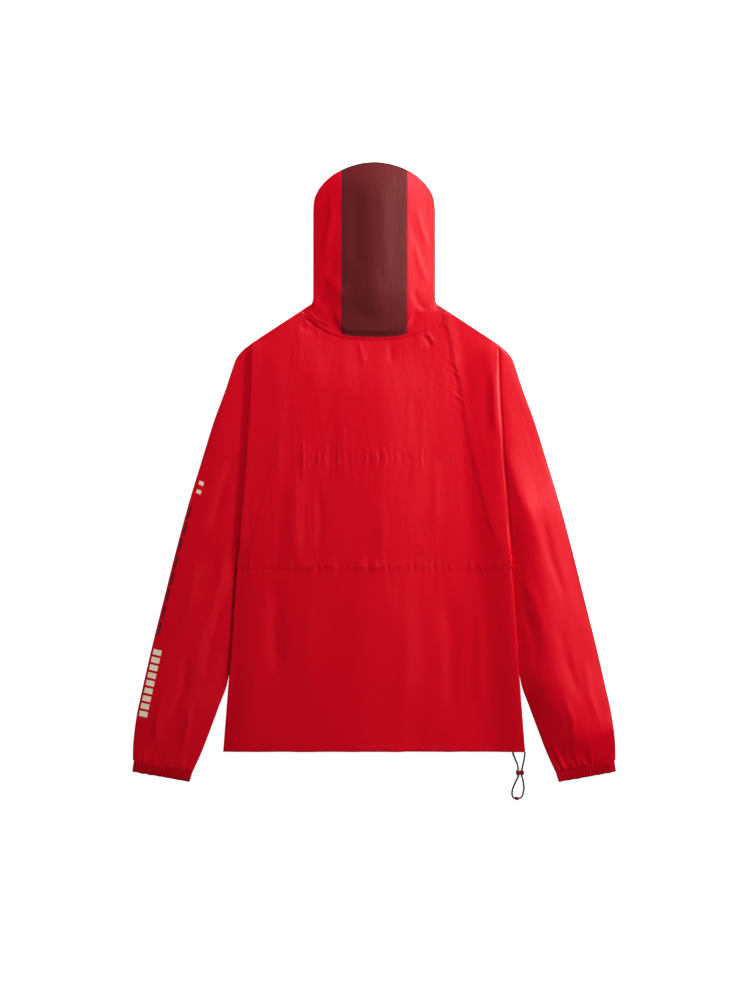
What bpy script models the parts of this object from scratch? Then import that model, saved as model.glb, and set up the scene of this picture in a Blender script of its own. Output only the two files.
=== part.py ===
"""Hooded anorak pullover, laid flat on its front with its back up.

Every piece that is cut and sewn is one closed wall of cloth.  A wall is worked out from a grid of skin
points: a point on its outer side and the direction that leads into the cloth.  X runs across the garment,
+Y to the hood and +Z up.  The origin is at the middle of the garment's box, on the surface it lies on.
Lengths below are in millimetres and are turned into metres where a mesh is made.
"""

import math
from bisect import bisect_right
from dataclasses import dataclass

import bmesh
import bpy
from mathutils import Matrix, Vector

MM = 0.001

# Cloth and how it lies
WALL = 1.5                      # cloth with its seams and crinkle
LAYER_GAP = 0.4                 # between two walls that lie on each other
SEAM_GAP = 0.4                  # between two pieces along a seam, measured level
FOLD_RADIUS = WALL + LAYER_GAP / 2
TWO_LAYERS = 2 * FOLD_RADIUS    # top of a wall that lies on another
FOLD_STEPS = 4                  # facets of a half round fold

# Body
NECK_HALF = 124.0               # half width of the back neck, between the raglan seams
YOKE_LINE = 25.0                # first stitched line across the back
WAIST_LINE = -171.7             # second stitched line, at the height of the armpits
HEM_LINE = -503.0
HEM_DEPTH = 13.0
HEM_RISE = 0.8                  # the turned-up hem is thicker
EDGE_BAND = 13.0                # the front's side edge keeps its height over this width
EDGE_RAMP = 40.0                # and has come down at this distance from the edge
HEM_AIR = 0.45                  # share of the air under the back that is left at the hem
HEM_FALL = 160.0                # height over which it gets there
NECK_FALL = 110.0               # height over which the back comes down to the neck
LIFT_START = -155.0             # the front starts to climb onto the sleeves here
TAPE_WIDTH = 6.5
TAPE_THICKNESS = 1.0
TAPE_INSET = 2.5                # the tape ends this much before the raglan seams
FRONT_END_SHARES = (0.08, 0.04, 0.0)    # the front's last points before its raglan edge, in column widths
SIDE_TURNS = (1.0, 0.5, 0.0)    # a side edge's points, as shares of its turn down to the side seam

# Hood
HOOD_HALF = 109.4               # half width of the flat hood
HOOD_CROWN_Y = 473.0            # where the straight sides pass into the crown
HOOD_CROWN_HEIGHT = 83.0        # crown's rise above that
HOOD_CROWN_POWER = 1.85         # how round the crown is, 2 for an ellipse
BAND_HALF = 59.0                # half width of the centre panel
HOOD_DOME = 15.0                # the hood's middle stands this much over its edges
HOOD_RIDGE = 0.23               # how round the top of that dome is
HOOD_NECK_AIR = 0.25            # share of the dome that is left just above the neck seam
HOOD_NECK_FALL = 90.0           # height over which it gets there
HOOD_NECK_STEP = 14.0           # height over which the hood comes down to the seam itself
BAND_RETURN = 45.0              # centre panel under the crown, down to the face opening
BAND_COLUMNS = (-40.0, -20.0, 0.0, 20.0, 40.0)  # x of the centre panel's columns between its seams
RETURN_SHARES = (0.0, 0.35, 0.7, 1.0)   # its rows under the crown
NECK_SECTIONS = 5               # the first sections of a side panel bend along the neck seam
NECK_BEND_POWER = 1.5           # how fast that bend fades from one section to the next

# Sleeve
RIGHT_RIDGE = 8.0               # the right sleeve's long ridge stands this much over its edges
RIDGE_PLACE = 48.0              # distance of that ridge from the body's side fold
LEFT_AIR = 3.9                  # height of the flatter left sleeve's top over its edges
CUFF_AIR = 0.3                  # share of that height that is left at the cuff
CUFF_FALL = 110.0               # height over which the sleeve comes down to the cuff
CUFF_TOP = -537.0               # height of the cuff's seam at the sleeve's inner edge
FALL_POWER = 2.2                # how hollow the sleeve's fall from the side fold is
RIDGE_FALL_POWER = 0.75         # how full the right sleeve's fall to its outer edge is
LEFT_EDGE_AIR = 0.7             # share of the left sleeve's height that is left beside its outer edge
LEFT_RISE = 14.0                # width over which its top rises from the side fold
LEFT_DROP = 9.0                 # and drops to the outer edge
SLEEVE_FULL_WIDTH = 110.0       # a section this wide has its full height
SLACK_ROWS = 4                  # sections over which the shoulder gets there
CREST_STEP = 3.5                # distance of the first point outside the side fold
CREST_SHARE = 0.125             # or, where the outer part is narrow, this share of it
INNER_MIN, OUTER_MIN = 6.0, 8.0     # least width of a section's two parts
INNER_SHARES = (0.0, 0.25, 0.5, 0.75, 1.0)      # a section's points inside the side fold
UNDER_SHARES = (1.0, 0.7, 0.4, 0.05)            # and on its underside
EDGE_SHARES = (0.0, 0.5)        # points of its inner edge
UNDERARM_GAP = 7.0              # degrees that the underarm edge leaves open at its seam, above and below
SHORT_SHARE = 0.4               # or, where a section is short, this share of it
EDGE_STEP = 0.4 * FOLD_RADIUS   # width of the square cut at the raglan seam
CUFF_LOWER = ((331.5, -557.3), (434.5, -538.5))     # inner and outer corner
CUFF_UPPER = ((325.0, -537.5), (431.5, -518.9))
CUFF_GATHERS = 13
SLEEVE_GATHERS = 7
GATHER_FACETS = 3               # facets of one of the sleeve's gathers
SLEEVE_GATHER_HEIGHT = 1.4
CUFF_GATHER_HEIGHT = 0.9
GATHER_LENGTH = 45.0            # the sleeve's gathers run out this far above the cuff
WAVE_STEPS = 4                  # facets of one gather
CUFF_HEIGHTS = (0.0, 0.5, 1.0)  # the cuff's rings, from its edge to its seam
CUFF_UNDER_SHARES = (1.0, 0.8, 0.6, 0.4, 0.2, 0.0)

# Cord
CORD_RADIUS = 1.7
CORD_SPANS = 8                  # straight pieces of one stretch of cord
LOCK_CENTRE = (261.9, -540.0, 3.3)
LOCK_SIZE = (14.8, 9.5, 6.4)
LOCK_WAIST = 0.8                # the lock narrows between its two lobes to this share of its depth
LOCK_CUTS = (-0.25, 0.0, 0.25)  # where the lock is cut across, as shares of its length
LOCK_WAIST_HALF = 0.125         # half length of its waist, likewise
LOCK_ROUNDING = 1.4
LOCK_CORNER = 60                # edges that turn by more degrees than this are rounded
BEAD_CENTRE = (256.4, -586.2, 3.2)
BEAD_SIZE = (8.2, 7.0, 6.2)

# height y, half width x of the back's raglan seam; the last row is the armpit
RAGLAN_SEAM = (
    (282.5, 124.0), (252.0, 131.5), (218.0, 139.0), (163.8, 149.8), (122.4, 158.0), (63.0, 167.8),
    (23.4, 175.7), (-40.5, 191.2), (-84.6, 203.0), (-115.2, 211.5), (-140.0, 221.5), (-157.0, 232.5),
    (-171.7, 248.5),
)
# height y, half width x of the body's side edge and of the fold that carries it on over the sleeve
SIDE_EDGE = (
    (227.0, 220.0), (147.6, 223.2), (72.0, 229.0), (15.3, 232.0), (-64.8, 238.5), (-135.0, 244.6),
    (-171.7, 248.5), (-230.4, 252.0), (-376.0, 261.4), (-503.0, 271.3),
)
# height y, half width x of the sleeve's inner edge, from the armpit under the body's edge to the cuff
UNDERARM_EDGE = (
    (-171.7, 248.5), (-195.0, 247.0), (-225.0, 246.5), (-275.0, 249.5), (-325.0, 255.0), (-381.6, 264.0),
    (-419.4, 277.5), (-462.6, 293.6), (-505.8, 310.3), (-537.0, 324.5),
)
# x, y along the sleeve's outer edge, from the neck over the shoulder to the cuff
SLEEVE_OUTER_EDGE = (
    (132.2, 288.3), (178.0, 258.4), (223.6, 227.9), (236.2, 217.4), (245.2, 207.0), (250.6, 196.2),
    (257.8, 174.6), (268.6, 142.2), (288.4, 88.2), (311.8, 12.6), (331.6, -52.2), (355.0, -138.6),
    (376.6, -225.0), (398.2, -311.4), (418.0, -397.8), (427.0, -441.0), (432.4, -484.2), (433.5, -518.0),
)
# distance x from the centre, height y of the hood's seam at the back and at the front of the neck
NECK_SEAM = (
    (0.0, 241.5, 195.0), (20.0, 242.0, 197.0), (40.0, 243.5, 203.0), (59.0, 247.0, 212.5),
    (75.0, 251.0, 224.0), (92.0, 258.0, 241.0), (108.0, 269.0, 260.0), (118.0, 276.5, 273.0),
    (124.0, 282.5, 282.5), (132.2, 288.6, 288.6),
)
# share of the body's half width from its left to its right side edge, height of the air under the back
BODY_AIR = (
    (-1.0, 0.0), (-0.93, 0.2), (-0.68, 2.0), (-0.45, 2.9), (-0.2, 3.6), (0.07, 4.6), (0.3, 3.1), (0.52, 0.8),
    (0.75, 0.1), (1.0, 0.0),
)
# height y, height at which the front's underside lies on the sleeves along its side edges
FRONT_LIFT = ((LIFT_START, 0.0), (-171.7, 3.8), (-382.0, 3.8), (-440.0, 0.6), (-503.0, 0.2))
# height y, height of the right and of the left side fold above the cloth beside it
FOLD_HEIGHT = (
    (300.0, 0.0, 0.0), (245.0, 0.6, 0.4), (215.0, 3.4, 2.2), (147.0, 5.4, 2.6), (60.0, 6.0, 2.8),
    (0.0, 6.4, 3.0), (-100.0, 7.2, 3.4), (-171.7, 8.0, 3.8), (-382.0, 8.0, 2.8), (-440.0, 7.4, 1.8),
    (-503.0, 6.0, 1.2),
)
# height y, width of the rise to the right fold, how much of it lies close to the fold, width of the left rise
FOLD_SPREAD = (
    (300.0, 40.0, 1.0, 30.0), (227.0, 60.0, 1.0, 30.0), (147.0, 70.0, 1.0, 30.0), (-60.0, 74.0, 1.0, 30.0),
    (-171.7, 100.0, 2.2, 30.0), (-240.0, 128.0, 3.6, 30.0), (-503.0, 128.0, 3.6, 30.0),
)
# height y, width over which the right and the left sleeve fall away outside the side fold
FOLD_FALL = (
    (300.0, 10.0, 10.0), (227.0, 13.0, 16.0), (150.0, 22.0, 30.0), (10.0, 22.0, 34.0), (-60.0, 18.0, 30.0),
    (-130.0, 13.0, 18.0), (-171.7, 10.0, 10.0),
)
# heights of the rows that the back, the front and the sleeves share, so that their seams match
RAGLAN_ROWS = (
    282.5, 260.0, 232.0, 200.0, 163.0, 120.0, 72.0, 25.0, -20.0, -65.0, -105.0, -138.0, -157.0, -171.7,
)
LOWER_ROWS = (
    -171.7, -195.0, -225.0, -265.0, -305.0, -345.0, -382.0, -410.0, -440.0, -470.0, -489.0, -490.5, -503.0,
)
SLEEVE_LOWER_ROWS = (-195.0, -225.0, -265.0, -305.0, -345.0, -382.0, -430.0, -465.0, -492.0, -514.0, -537.0)
# height of a hood section's start on the centre panel's seam, its place on the outline and at the opening
HOOD_SECTIONS = (
    (247.0, 132.2, 288.6, 1.0, 195.0), (262.0, 120.5, 296.2, 6.0, 212.0),
    (278.0, 111.6, 302.6, 16.0, 232.0), (296.0, 109.4, 314.0, 28.0, 254.0),
    (318.0, 109.4, 333.0, 41.0, 280.0), (345.0, 109.4, 357.0, 52.0, 310.0),
    (372.0, 109.4, 382.0, 59.0, 344.0), (400.0, 109.4, 410.0, 62.0, 380.0),
    (428.0, 109.4, 438.0, 63.5, 414.0), (454.0, 109.4, 464.0, 64.0, 442.0),
    (474.0, 107.7, 487.0, 63.5, 460.0), (491.0, 101.4, 503.1, 63.0, 473.0),
    (505.0, 90.7, 517.9, 62.0, 483.0), (517.0, 77.4, 530.1, 61.0, 490.0),
    (526.0, 67.4, 536.9, 60.0, 495.0), (533.0, 59.0, 541.5, 59.0, 498.0),
)
# shares of the way from the neck to the crown at which the centre panel has its rows
BAND_SHARES = (0.0, 0.045, 0.1, 0.17, 0.26, 0.36, 0.47, 0.58, 0.69, 0.79, 0.87, 0.94, 1.0)
# x, y, z along each stretch of the hem cord, from the hem to the lock and from the lock to the bead
CORD_ROUTES = {
    "cord_hem_inner": (
        (249.0, -503.9, 2.0), (249.8, -507.5, 2.0), (254.2, -518.5, 2.3), (257.4, -526.5, 2.9),
        (258.6, -534.9, 3.3),
    ),
    "cord_hem_outer": (
        (270.8, -503.9, 2.0), (270.2, -511.5, 2.0), (268.8, -519.8, 2.3), (266.8, -528.0, 2.9),
        (265.2, -534.9, 3.3),
    ),
    "cord_loop_inner": (
        (259.0, -545.1, 3.3), (256.2, -552.5, 2.5), (252.7, -560.2, 2.0), (249.4, -568.0, 1.9),
        (247.7, -575.4, 2.0), (247.9, -580.4, 2.2), (249.4, -584.4, 2.7), (251.4, -585.8, 3.1),
    ),
    "cord_loop_outer": (
        (264.8, -545.1, 3.3), (267.0, -552.5, 2.5), (268.4, -560.5, 2.0), (269.0, -568.5, 1.9),
        (267.9, -576.0, 2.0), (266.6, -581.2, 2.2), (264.0, -584.7, 2.7), (261.4, -585.9, 3.1),
    ),
}

RED = (0.52, 0.006, 0.016)
MAROON = (0.085, 0.017, 0.022)
CORD_GREY = (0.045, 0.04, 0.043)
LOCK_RED = (0.20, 0.005, 0.012)


# ----------------------------------------------------------------------------------------------------
# Curves
# ----------------------------------------------------------------------------------------------------
def smooth(rows):
    """Give a smooth function through rows of (position, value), level beyond its ends."""
    rows = sorted(row[:2] for row in rows)
    places = [row[0] for row in rows]
    values = [row[1] for row in rows]
    steps = [(values[i + 1] - values[i]) / (places[i + 1] - places[i]) for i in range(len(rows) - 1)]
    slopes = [steps[0]]
    for before, after in zip(steps, steps[1:]):
        slopes.append(0.0 if before * after <= 0 else 2 * before * after / (before + after))
    slopes.append(steps[-1])

    def value_at(place):
        place = min(max(place, places[0]), places[-1])
        i = min(bisect_right(places, place), len(places) - 1) - 1
        width = places[i + 1] - places[i]
        t = (place - places[i]) / width
        start = (2 * t**3 - 3 * t**2 + 1) * values[i] + (t**3 - 2 * t**2 + t) * width * slopes[i]
        return start + (3 * t**2 - 2 * t**3) * values[i + 1] + (t**3 - t**2) * width * slopes[i + 1]

    return value_at


def ease(share):
    """Rise smoothly from 0 to 1 as share goes from 0 to 1."""
    share = min(max(share, 0.0), 1.0)
    return share * share * (3 - 2 * share)


def even_path(points, shares):
    """Place points on a smooth curve through the given ones, at these shares of its length."""
    points = [Vector(point) for point in points]
    ends = [2 * points[0] - points[1]] + points + [2 * points[-1] - points[-2]]
    fine = []
    for a, b, c, d in zip(ends, ends[1:], ends[2:], ends[3:]):
        for t in (0.0, 0.125, 0.25, 0.375, 0.5, 0.625, 0.75, 0.875):
            fine.append(0.5 * (2 * b + (c - a) * t + (2 * a - 5 * b + 4 * c - d) * t**2
                               + (3 * b - a - 3 * c + d) * t**3))
    fine.append(points[-1])
    lengths = [0.0]
    for before, after in zip(fine, fine[1:]):
        lengths.append(lengths[-1] + (after - before).length)
    placed = []
    for share in shares:
        wanted = share * lengths[-1]
        i = min(max(bisect_right(lengths, wanted) - 1, 0), len(fine) - 2)
        placed.append(fine[i].lerp(fine[i + 1], (wanted - lengths[i]) / (lengths[i + 1] - lengths[i])))
    return placed


def level_normals(points, inside):
    """Level unit vectors square to a line of points, on the side away from the matching points inside."""
    normals = []
    for i, point in enumerate(points):
        along = points[min(i + 1, len(points) - 1)] - points[max(i - 1, 0)]
        normal = Vector((along.y, -along.x, 0.0)).normalized()
        normals.append(normal if normal.dot(point - inside[i]) > 0 else -normal)
    return normals


raglan_x = smooth(RAGLAN_SEAM)
side_x = smooth(SIDE_EDGE)
underarm_x = smooth(UNDERARM_EDGE)
body_air = smooth(BODY_AIR)
edge_lift = smooth(FRONT_LIFT)
right_fold, left_fold = (smooth((row[0], row[column]) for row in FOLD_HEIGHT) for column in (1, 2))
right_spread, right_power, left_spread = (
    smooth((row[0], row[column]) for row in FOLD_SPREAD) for column in (1, 2, 3))
right_fall, left_fall = (smooth((row[0], row[column]) for row in FOLD_FALL) for column in (1, 2))
back_neck_y = smooth((x, back) for x, back, front in NECK_SEAM)
front_neck_y = smooth((x, front) for x, back, front in NECK_SEAM)


def body_half_width(y):
    """Half width of the body: to the raglan seam above the armpit and to the side edge below it."""
    return raglan_x(y) if y > WAIST_LINE else side_x(y)


def front_lift(x, y):
    """Height of the front's underside, which lies on the sleeve along the body's side edge."""
    inside = body_half_width(y) - abs(x)
    return edge_lift(y) * ease((EDGE_RAMP - inside) / (EDGE_RAMP - EDGE_BAND)) if y < LIFT_START else 0.0


def side_fold_height(x, y):
    """Height that the body's side folds add to the back."""
    inside = side_x(y) - abs(x)
    if x > 0:
        rise = right_fold(y) * ease(1 - inside / right_spread(y)) ** right_power(y)
    else:
        rise = left_fold(y) * ease(1 - inside / left_spread(y))
    return max(rise, front_lift(x, y))


def back_height(x, y):
    """Height of the back's outer side: a low ridge down its middle, between the two side folds."""
    neck = ease((back_neck_y(abs(x)) - y) / NECK_FALL)
    hem = HEM_AIR + (1 - HEM_AIR) * ease((y - HEM_LINE) / HEM_FALL)
    return TWO_LAYERS + side_fold_height(x, y) + body_air(x / side_x(y)) * neck * hem


# ----------------------------------------------------------------------------------------------------
# Walls
# ----------------------------------------------------------------------------------------------------
@dataclass
class Skin:
    """A point on the outer side of the cloth, and the direction that leads into it."""

    point: Vector
    inward: Vector

    def mirrored(self):
        """The same point on the other half of the garment."""
        flip = Vector((-1.0, 1.0, 1.0))
        return Skin(self.point * flip, self.inward * flip)


DOWN = Vector((0.0, 0.0, -1.0))
UP = Vector((0.0, 0.0, 1.0))


def top_skin(x, y, z):
    """A point on the upper side of a wall that lies level."""
    return Skin(Vector((x, y, z)), DOWN)


def under_skin(x, y, z):
    """A point on the underside of a wall that lies level."""
    return Skin(Vector((x, y, z)), UP)


def fold_skins(edge, outward, low, high):
    """Skin points round a half round fold from its top to its bottom, without the two level ends."""
    middle = (low + high) / 2
    radius = (high - low) / 2
    skins = []
    for step in range(1, FOLD_STEPS):
        angle = math.radians(90 - 180 * step / FOLD_STEPS)
        turn = outward * math.cos(angle) + UP * math.sin(angle)
        centre = Vector((edge.x, edge.y, middle)) - outward * FOLD_RADIUS
        level = outward * (math.cos(angle) * FOLD_RADIUS)
        skins.append(Skin(centre + level + UP * (radius * math.sin(angle)), -turn))
    return skins


def make_wall(name, rows, colour, thickness=WALL, ring=False):
    """Build one closed wall of cloth from rows of skin points.

    A ring joins each row's end to its start, as a cuff does.
    """
    mesh_builder = bmesh.new()
    outer = [[mesh_builder.verts.new(skin.point * MM) for skin in row] for row in rows]
    inner = [[mesh_builder.verts.new((skin.point + skin.inward * thickness) * MM) for skin in row]
             for row in rows]
    count = len(rows[0])
    spans = [(i, (i + 1) % count) for i in range(count if ring else count - 1)]
    for r in range(len(rows) - 1):
        for a, b in spans:
            mesh_builder.faces.new((outer[r][a], outer[r][b], outer[r + 1][b], outer[r + 1][a]))
            mesh_builder.faces.new((inner[r][a], inner[r + 1][a], inner[r + 1][b], inner[r][b]))
        if not ring:
            mesh_builder.faces.new((outer[r][0], outer[r + 1][0], inner[r + 1][0], inner[r][0]))
            mesh_builder.faces.new((outer[r][-1], inner[r][-1], inner[r + 1][-1], outer[r + 1][-1]))
    for a, b in spans:
        mesh_builder.faces.new((outer[0][a], inner[0][a], inner[0][b], outer[0][b]))
        mesh_builder.faces.new((outer[-1][a], outer[-1][b], inner[-1][b], inner[-1][a]))
    bmesh.ops.recalc_face_normals(mesh_builder, faces=mesh_builder.faces)
    bmesh.ops.triangulate(mesh_builder, faces=mesh_builder.faces)
    return add_object(name, mesh_builder, colour)


def add_object(name, mesh_builder, colour, roughness=0.55):
    """Turn a finished mesh into a named object with its own material."""
    mesh = bpy.data.meshes.new(name)
    mesh_builder.to_mesh(mesh)
    mesh_builder.free()
    part = bpy.data.objects.new(name, mesh)
    bpy.context.scene.collection.objects.link(part)
    mesh.materials.append(make_material(name, colour, roughness))
    mesh.shade_smooth()
    mesh.set_sharp_from_angle(angle=math.radians(40))
    return part


def make_material(name, colour, roughness):
    """A plain Principled finish."""
    material = bpy.data.materials.new(name)
    material.use_nodes = True
    shader = material.node_tree.nodes["Principled BSDF"]
    shader.inputs["Base Color"].default_value = (*colour, 1.0)
    shader.inputs["Roughness"].default_value = roughness
    shader.inputs["Metallic"].default_value = 0.0
    return material


# ----------------------------------------------------------------------------------------------------
# Body
# ----------------------------------------------------------------------------------------------------
def body_columns():
    """Shares of the half width for the columns of the back and the front, from -1 to 1."""
    right = [row[0] / NECK_HALF for row in NECK_SEAM if row[0] <= NECK_HALF]
    return [-share for share in reversed(right[1:])] + right


def body_rows(heights, top_of=None, cut_top=0.0, cut_bottom=0.0):
    """Plan points of a body panel, row by row: each column runs from its own top to the panel's last row."""
    first, last = heights[0], heights[-1]
    plan = []
    for height in heights:
        run = (first - height) / (first - last)
        row = []
        for share in body_columns():
            x = share * (body_half_width(height) - SEAM_GAP / 2)
            top = top_of(abs(share) * NECK_HALF) if top_of else first
            y = (top - cut_top) + (last + cut_bottom - top + cut_top) * run
            row.append((x, y))
        plan.append(row)
    return plan


def build_back():
    """The back's three panels, one below the other."""
    half = SEAM_GAP / 2
    upper = [y for y in RAGLAN_ROWS if y >= YOKE_LINE]
    middle = [y for y in RAGLAN_ROWS if y <= YOKE_LINE]
    for name, plan in (
        ("back_yoke", body_rows(upper, back_neck_y, half, half)),
        ("back_middle", body_rows(middle, None, half, half)),
    ):
        make_wall(name, [[top_skin(x, y, back_height(x, y)) for x, y in row] for row in plan], RED)
    build_lower_back()


def build_lower_back():
    """The lower back, rounded down along both side edges to meet the front, with its hem turned up."""
    rows = []
    for index, row in enumerate(body_rows(LOWER_ROWS, None, SEAM_GAP / 2, 0.0)):
        rise = HEM_RISE if LOWER_ROWS[index] < HEM_LINE + HEM_DEPTH else 0.0
        skins = []
        for x, y in row[1:-1]:
            skins.append(top_skin(x, y, back_height(x, y) + rise))
        rows.append(side_fold(row[0], rise, True)[::-1] + skins + side_fold(row[-1], rise, True))
    make_wall("back_lower", rows, RED)


def side_fold(place, rise, upper):
    """Skin points of the body's side edge, from the level part of the back (or front) to the side seam."""
    x, y = place
    outward = Vector((math.copysign(1.0, x), 0.0, 0.0))
    low, high = front_lift(x, y), back_height(x, y)
    radius = (high - low) / 2
    centre = Vector((x, y, low + radius)) - outward * FOLD_RADIUS
    seam = math.asin(SEAM_GAP / 2 / radius)
    skins = []
    for share in SIDE_TURNS:
        angle = (seam + (math.pi / 2 - seam) * share) * (1 if upper else -1)
        level, height = outward * math.cos(angle), math.sin(angle)
        lifted = UP * (radius * height + rise * abs(height))
        skins.append(Skin(centre + level * FOLD_RADIUS + lifted, -level - UP * height))
    return skins


def build_front():
    """The front, flat on the surface in its middle and lying on the sleeves along its side edges."""
    upper = body_rows(RAGLAN_ROWS, front_neck_y, SEAM_GAP / 2, 0.0)
    lower = body_rows(LOWER_ROWS, None, 0.0, 0.0)
    rows = []
    for row in upper[:-1]:
        left, right = row[0], row[-1]
        skins = [under_skin(x, y, front_lift(x, y)) for x, y in row[1:-1]]
        ends = []
        for end, beside in ((Vector(left), Vector(row[1])), (Vector(right), Vector(row[-2]))):
            places = [end.lerp(beside, share) for share in FRONT_END_SHARES]
            ends.append([under_skin(place.x, place.y, front_lift(*place)) for place in places])
        rows.append(ends[0][::-1] + skins + ends[1])
    for row in lower:
        skins = [under_skin(x, y, front_lift(x, y)) for x, y in row[1:-1]]
        rows.append(side_fold(row[0], 0.0, False)[::-1] + skins + side_fold(row[-1], 0.0, False))
    make_wall("front_panel", rows, RED)


def build_neck_tape():
    """The strip that lies on the yoke along the neck seam, made from the yoke's own points."""
    rows = []
    for inset in (SEAM_GAP, TAPE_WIDTH / 2, TAPE_WIDTH):
        row = []
        for share in body_columns():
            x = share * (NECK_HALF - TAPE_INSET)
            y = back_neck_y(abs(x)) - inset
            row.append(top_skin(x, y, back_height(x, y) + LAYER_GAP + TAPE_THICKNESS))
        rows.append(row)
    make_wall("neck_tape", rows, RED, TAPE_THICKNESS)


# ----------------------------------------------------------------------------------------------------
# Hood
# ----------------------------------------------------------------------------------------------------
def hood_height(x, y):
    """Height of the hood's upper side: a rounded ridge that comes down to the outline and to the neck."""
    over = max(y - HOOD_CROWN_Y, 0.0) / HOOD_CROWN_HEIGHT
    from_middle = min(math.sqrt((abs(x) / HOOD_HALF) ** HOOD_CROWN_POWER + over**2), 1.0)
    top = math.hypot(1, HOOD_RIDGE)
    dome = (top - math.hypot(from_middle, HOOD_RIDGE)) / (top - HOOD_RIDGE)
    above_neck = y - back_neck_y(abs(x))
    air = HOOD_NECK_AIR + (1 - HOOD_NECK_AIR) * ease(above_neck / HOOD_NECK_FALL)
    return TWO_LAYERS + HOOD_DOME * dome * air * ease(above_neck / HOOD_NECK_STEP)


def hood_top_y(x):
    """Height of the crown's outline."""
    return HOOD_CROWN_Y + HOOD_CROWN_HEIGHT * math.sqrt(1 - (abs(x) / HOOD_HALF) ** HOOD_CROWN_POWER)


def build_hood_centre():
    """The centre panel: up from the neck, over the crown and under to the face opening."""
    inset = SEAM_GAP / 2
    rows = []
    for x in (-BAND_HALF + inset, *BAND_COLUMNS, BAND_HALF - inset):
        start = back_neck_y(abs(x)) + inset
        end = hood_top_y(x) - FOLD_RADIUS
        row = []
        for share in BAND_SHARES:
            y = start + (end - start) * share
            row.append(top_skin(x, y, hood_height(x, y)))
        row += fold_skins(Vector((x, hood_top_y(x), 0)), Vector((0, 1, 0)), 0.0, row[-1].point.z)
        row += [under_skin(x, end - BAND_RETURN * share, 0.0) for share in RETURN_SHARES]
        rows.append(row)
    make_wall("hood_center_panel", rows, MAROON)


def build_hood_side():
    """A side panel as skin rows: fanned sections from the centre panel, round the outline, to the opening."""
    seams = [Vector((BAND_HALF + SEAM_GAP / 2, section[0], 0)) for section in HOOD_SECTIONS]
    outline = [Vector((section[1], section[2], 0)) for section in HOOD_SECTIONS]
    opening = [Vector((section[3], section[4], 0)) for section in HOOD_SECTIONS]
    outline[-1].x += SEAM_GAP / 2
    opening[-1].x += SEAM_GAP / 2
    normals = level_normals(outline, seams)
    normals[0] = (outline[0] - Vector((NECK_HALF, back_neck_y(NECK_HALF), 0))).normalized()
    normals[-1] = Vector((0, 1, 0))
    first_turn = outline[0].x - normals[0].x * FOLD_RADIUS
    over = [row[0] for row in NECK_SEAM if BAND_HALF < row[0] <= NECK_HALF]
    top_shares = [0.0] + [(x - seams[0].x) / (first_turn - seams[0].x) for x in over] + [1.0]
    under = [row[0] for row in reversed(NECK_SEAM) if 0 < row[0] <= NECK_HALF]
    under_shares = [0.0] + [(first_turn - x) / (first_turn - opening[0].x) for x in under] + [1.0]
    rows = []
    for index, (seam, edge, end) in enumerate(zip(seams, outline, opening)):
        curve = max(0.0, 1 - index / NECK_SECTIONS) ** NECK_BEND_POWER
        edge = edge + Vector((0, SEAM_GAP / 2, 0)) * curve
        turn = edge - normals[index] * FOLD_RADIUS
        row = []
        for share in top_shares:
            place = seam.lerp(turn, share)
            along_neck = back_neck_y(place.x) + SEAM_GAP / 2
            y = place.y + (along_neck - place.y) * curve
            row.append(top_skin(place.x, y, hood_height(place.x, y)))
        row += fold_skins(edge, normals[index], 0.0, row[-1].point.z)
        for share in under_shares:
            place = turn.lerp(end, share)
            along_neck = front_neck_y(place.x) + SEAM_GAP / 2
            y = place.y + (along_neck - place.y) * curve
            row.append(under_skin(place.x, y, 0.0))
        rows.append(row)
    return rows


# ----------------------------------------------------------------------------------------------------
# Sleeves and cuffs
# ----------------------------------------------------------------------------------------------------
def sleeve_inner_x(y):
    """The sleeve's inner edge: the raglan seam, then the underarm edge."""
    return raglan_x(y) if y > WAIST_LINE else underarm_x(y)


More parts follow.
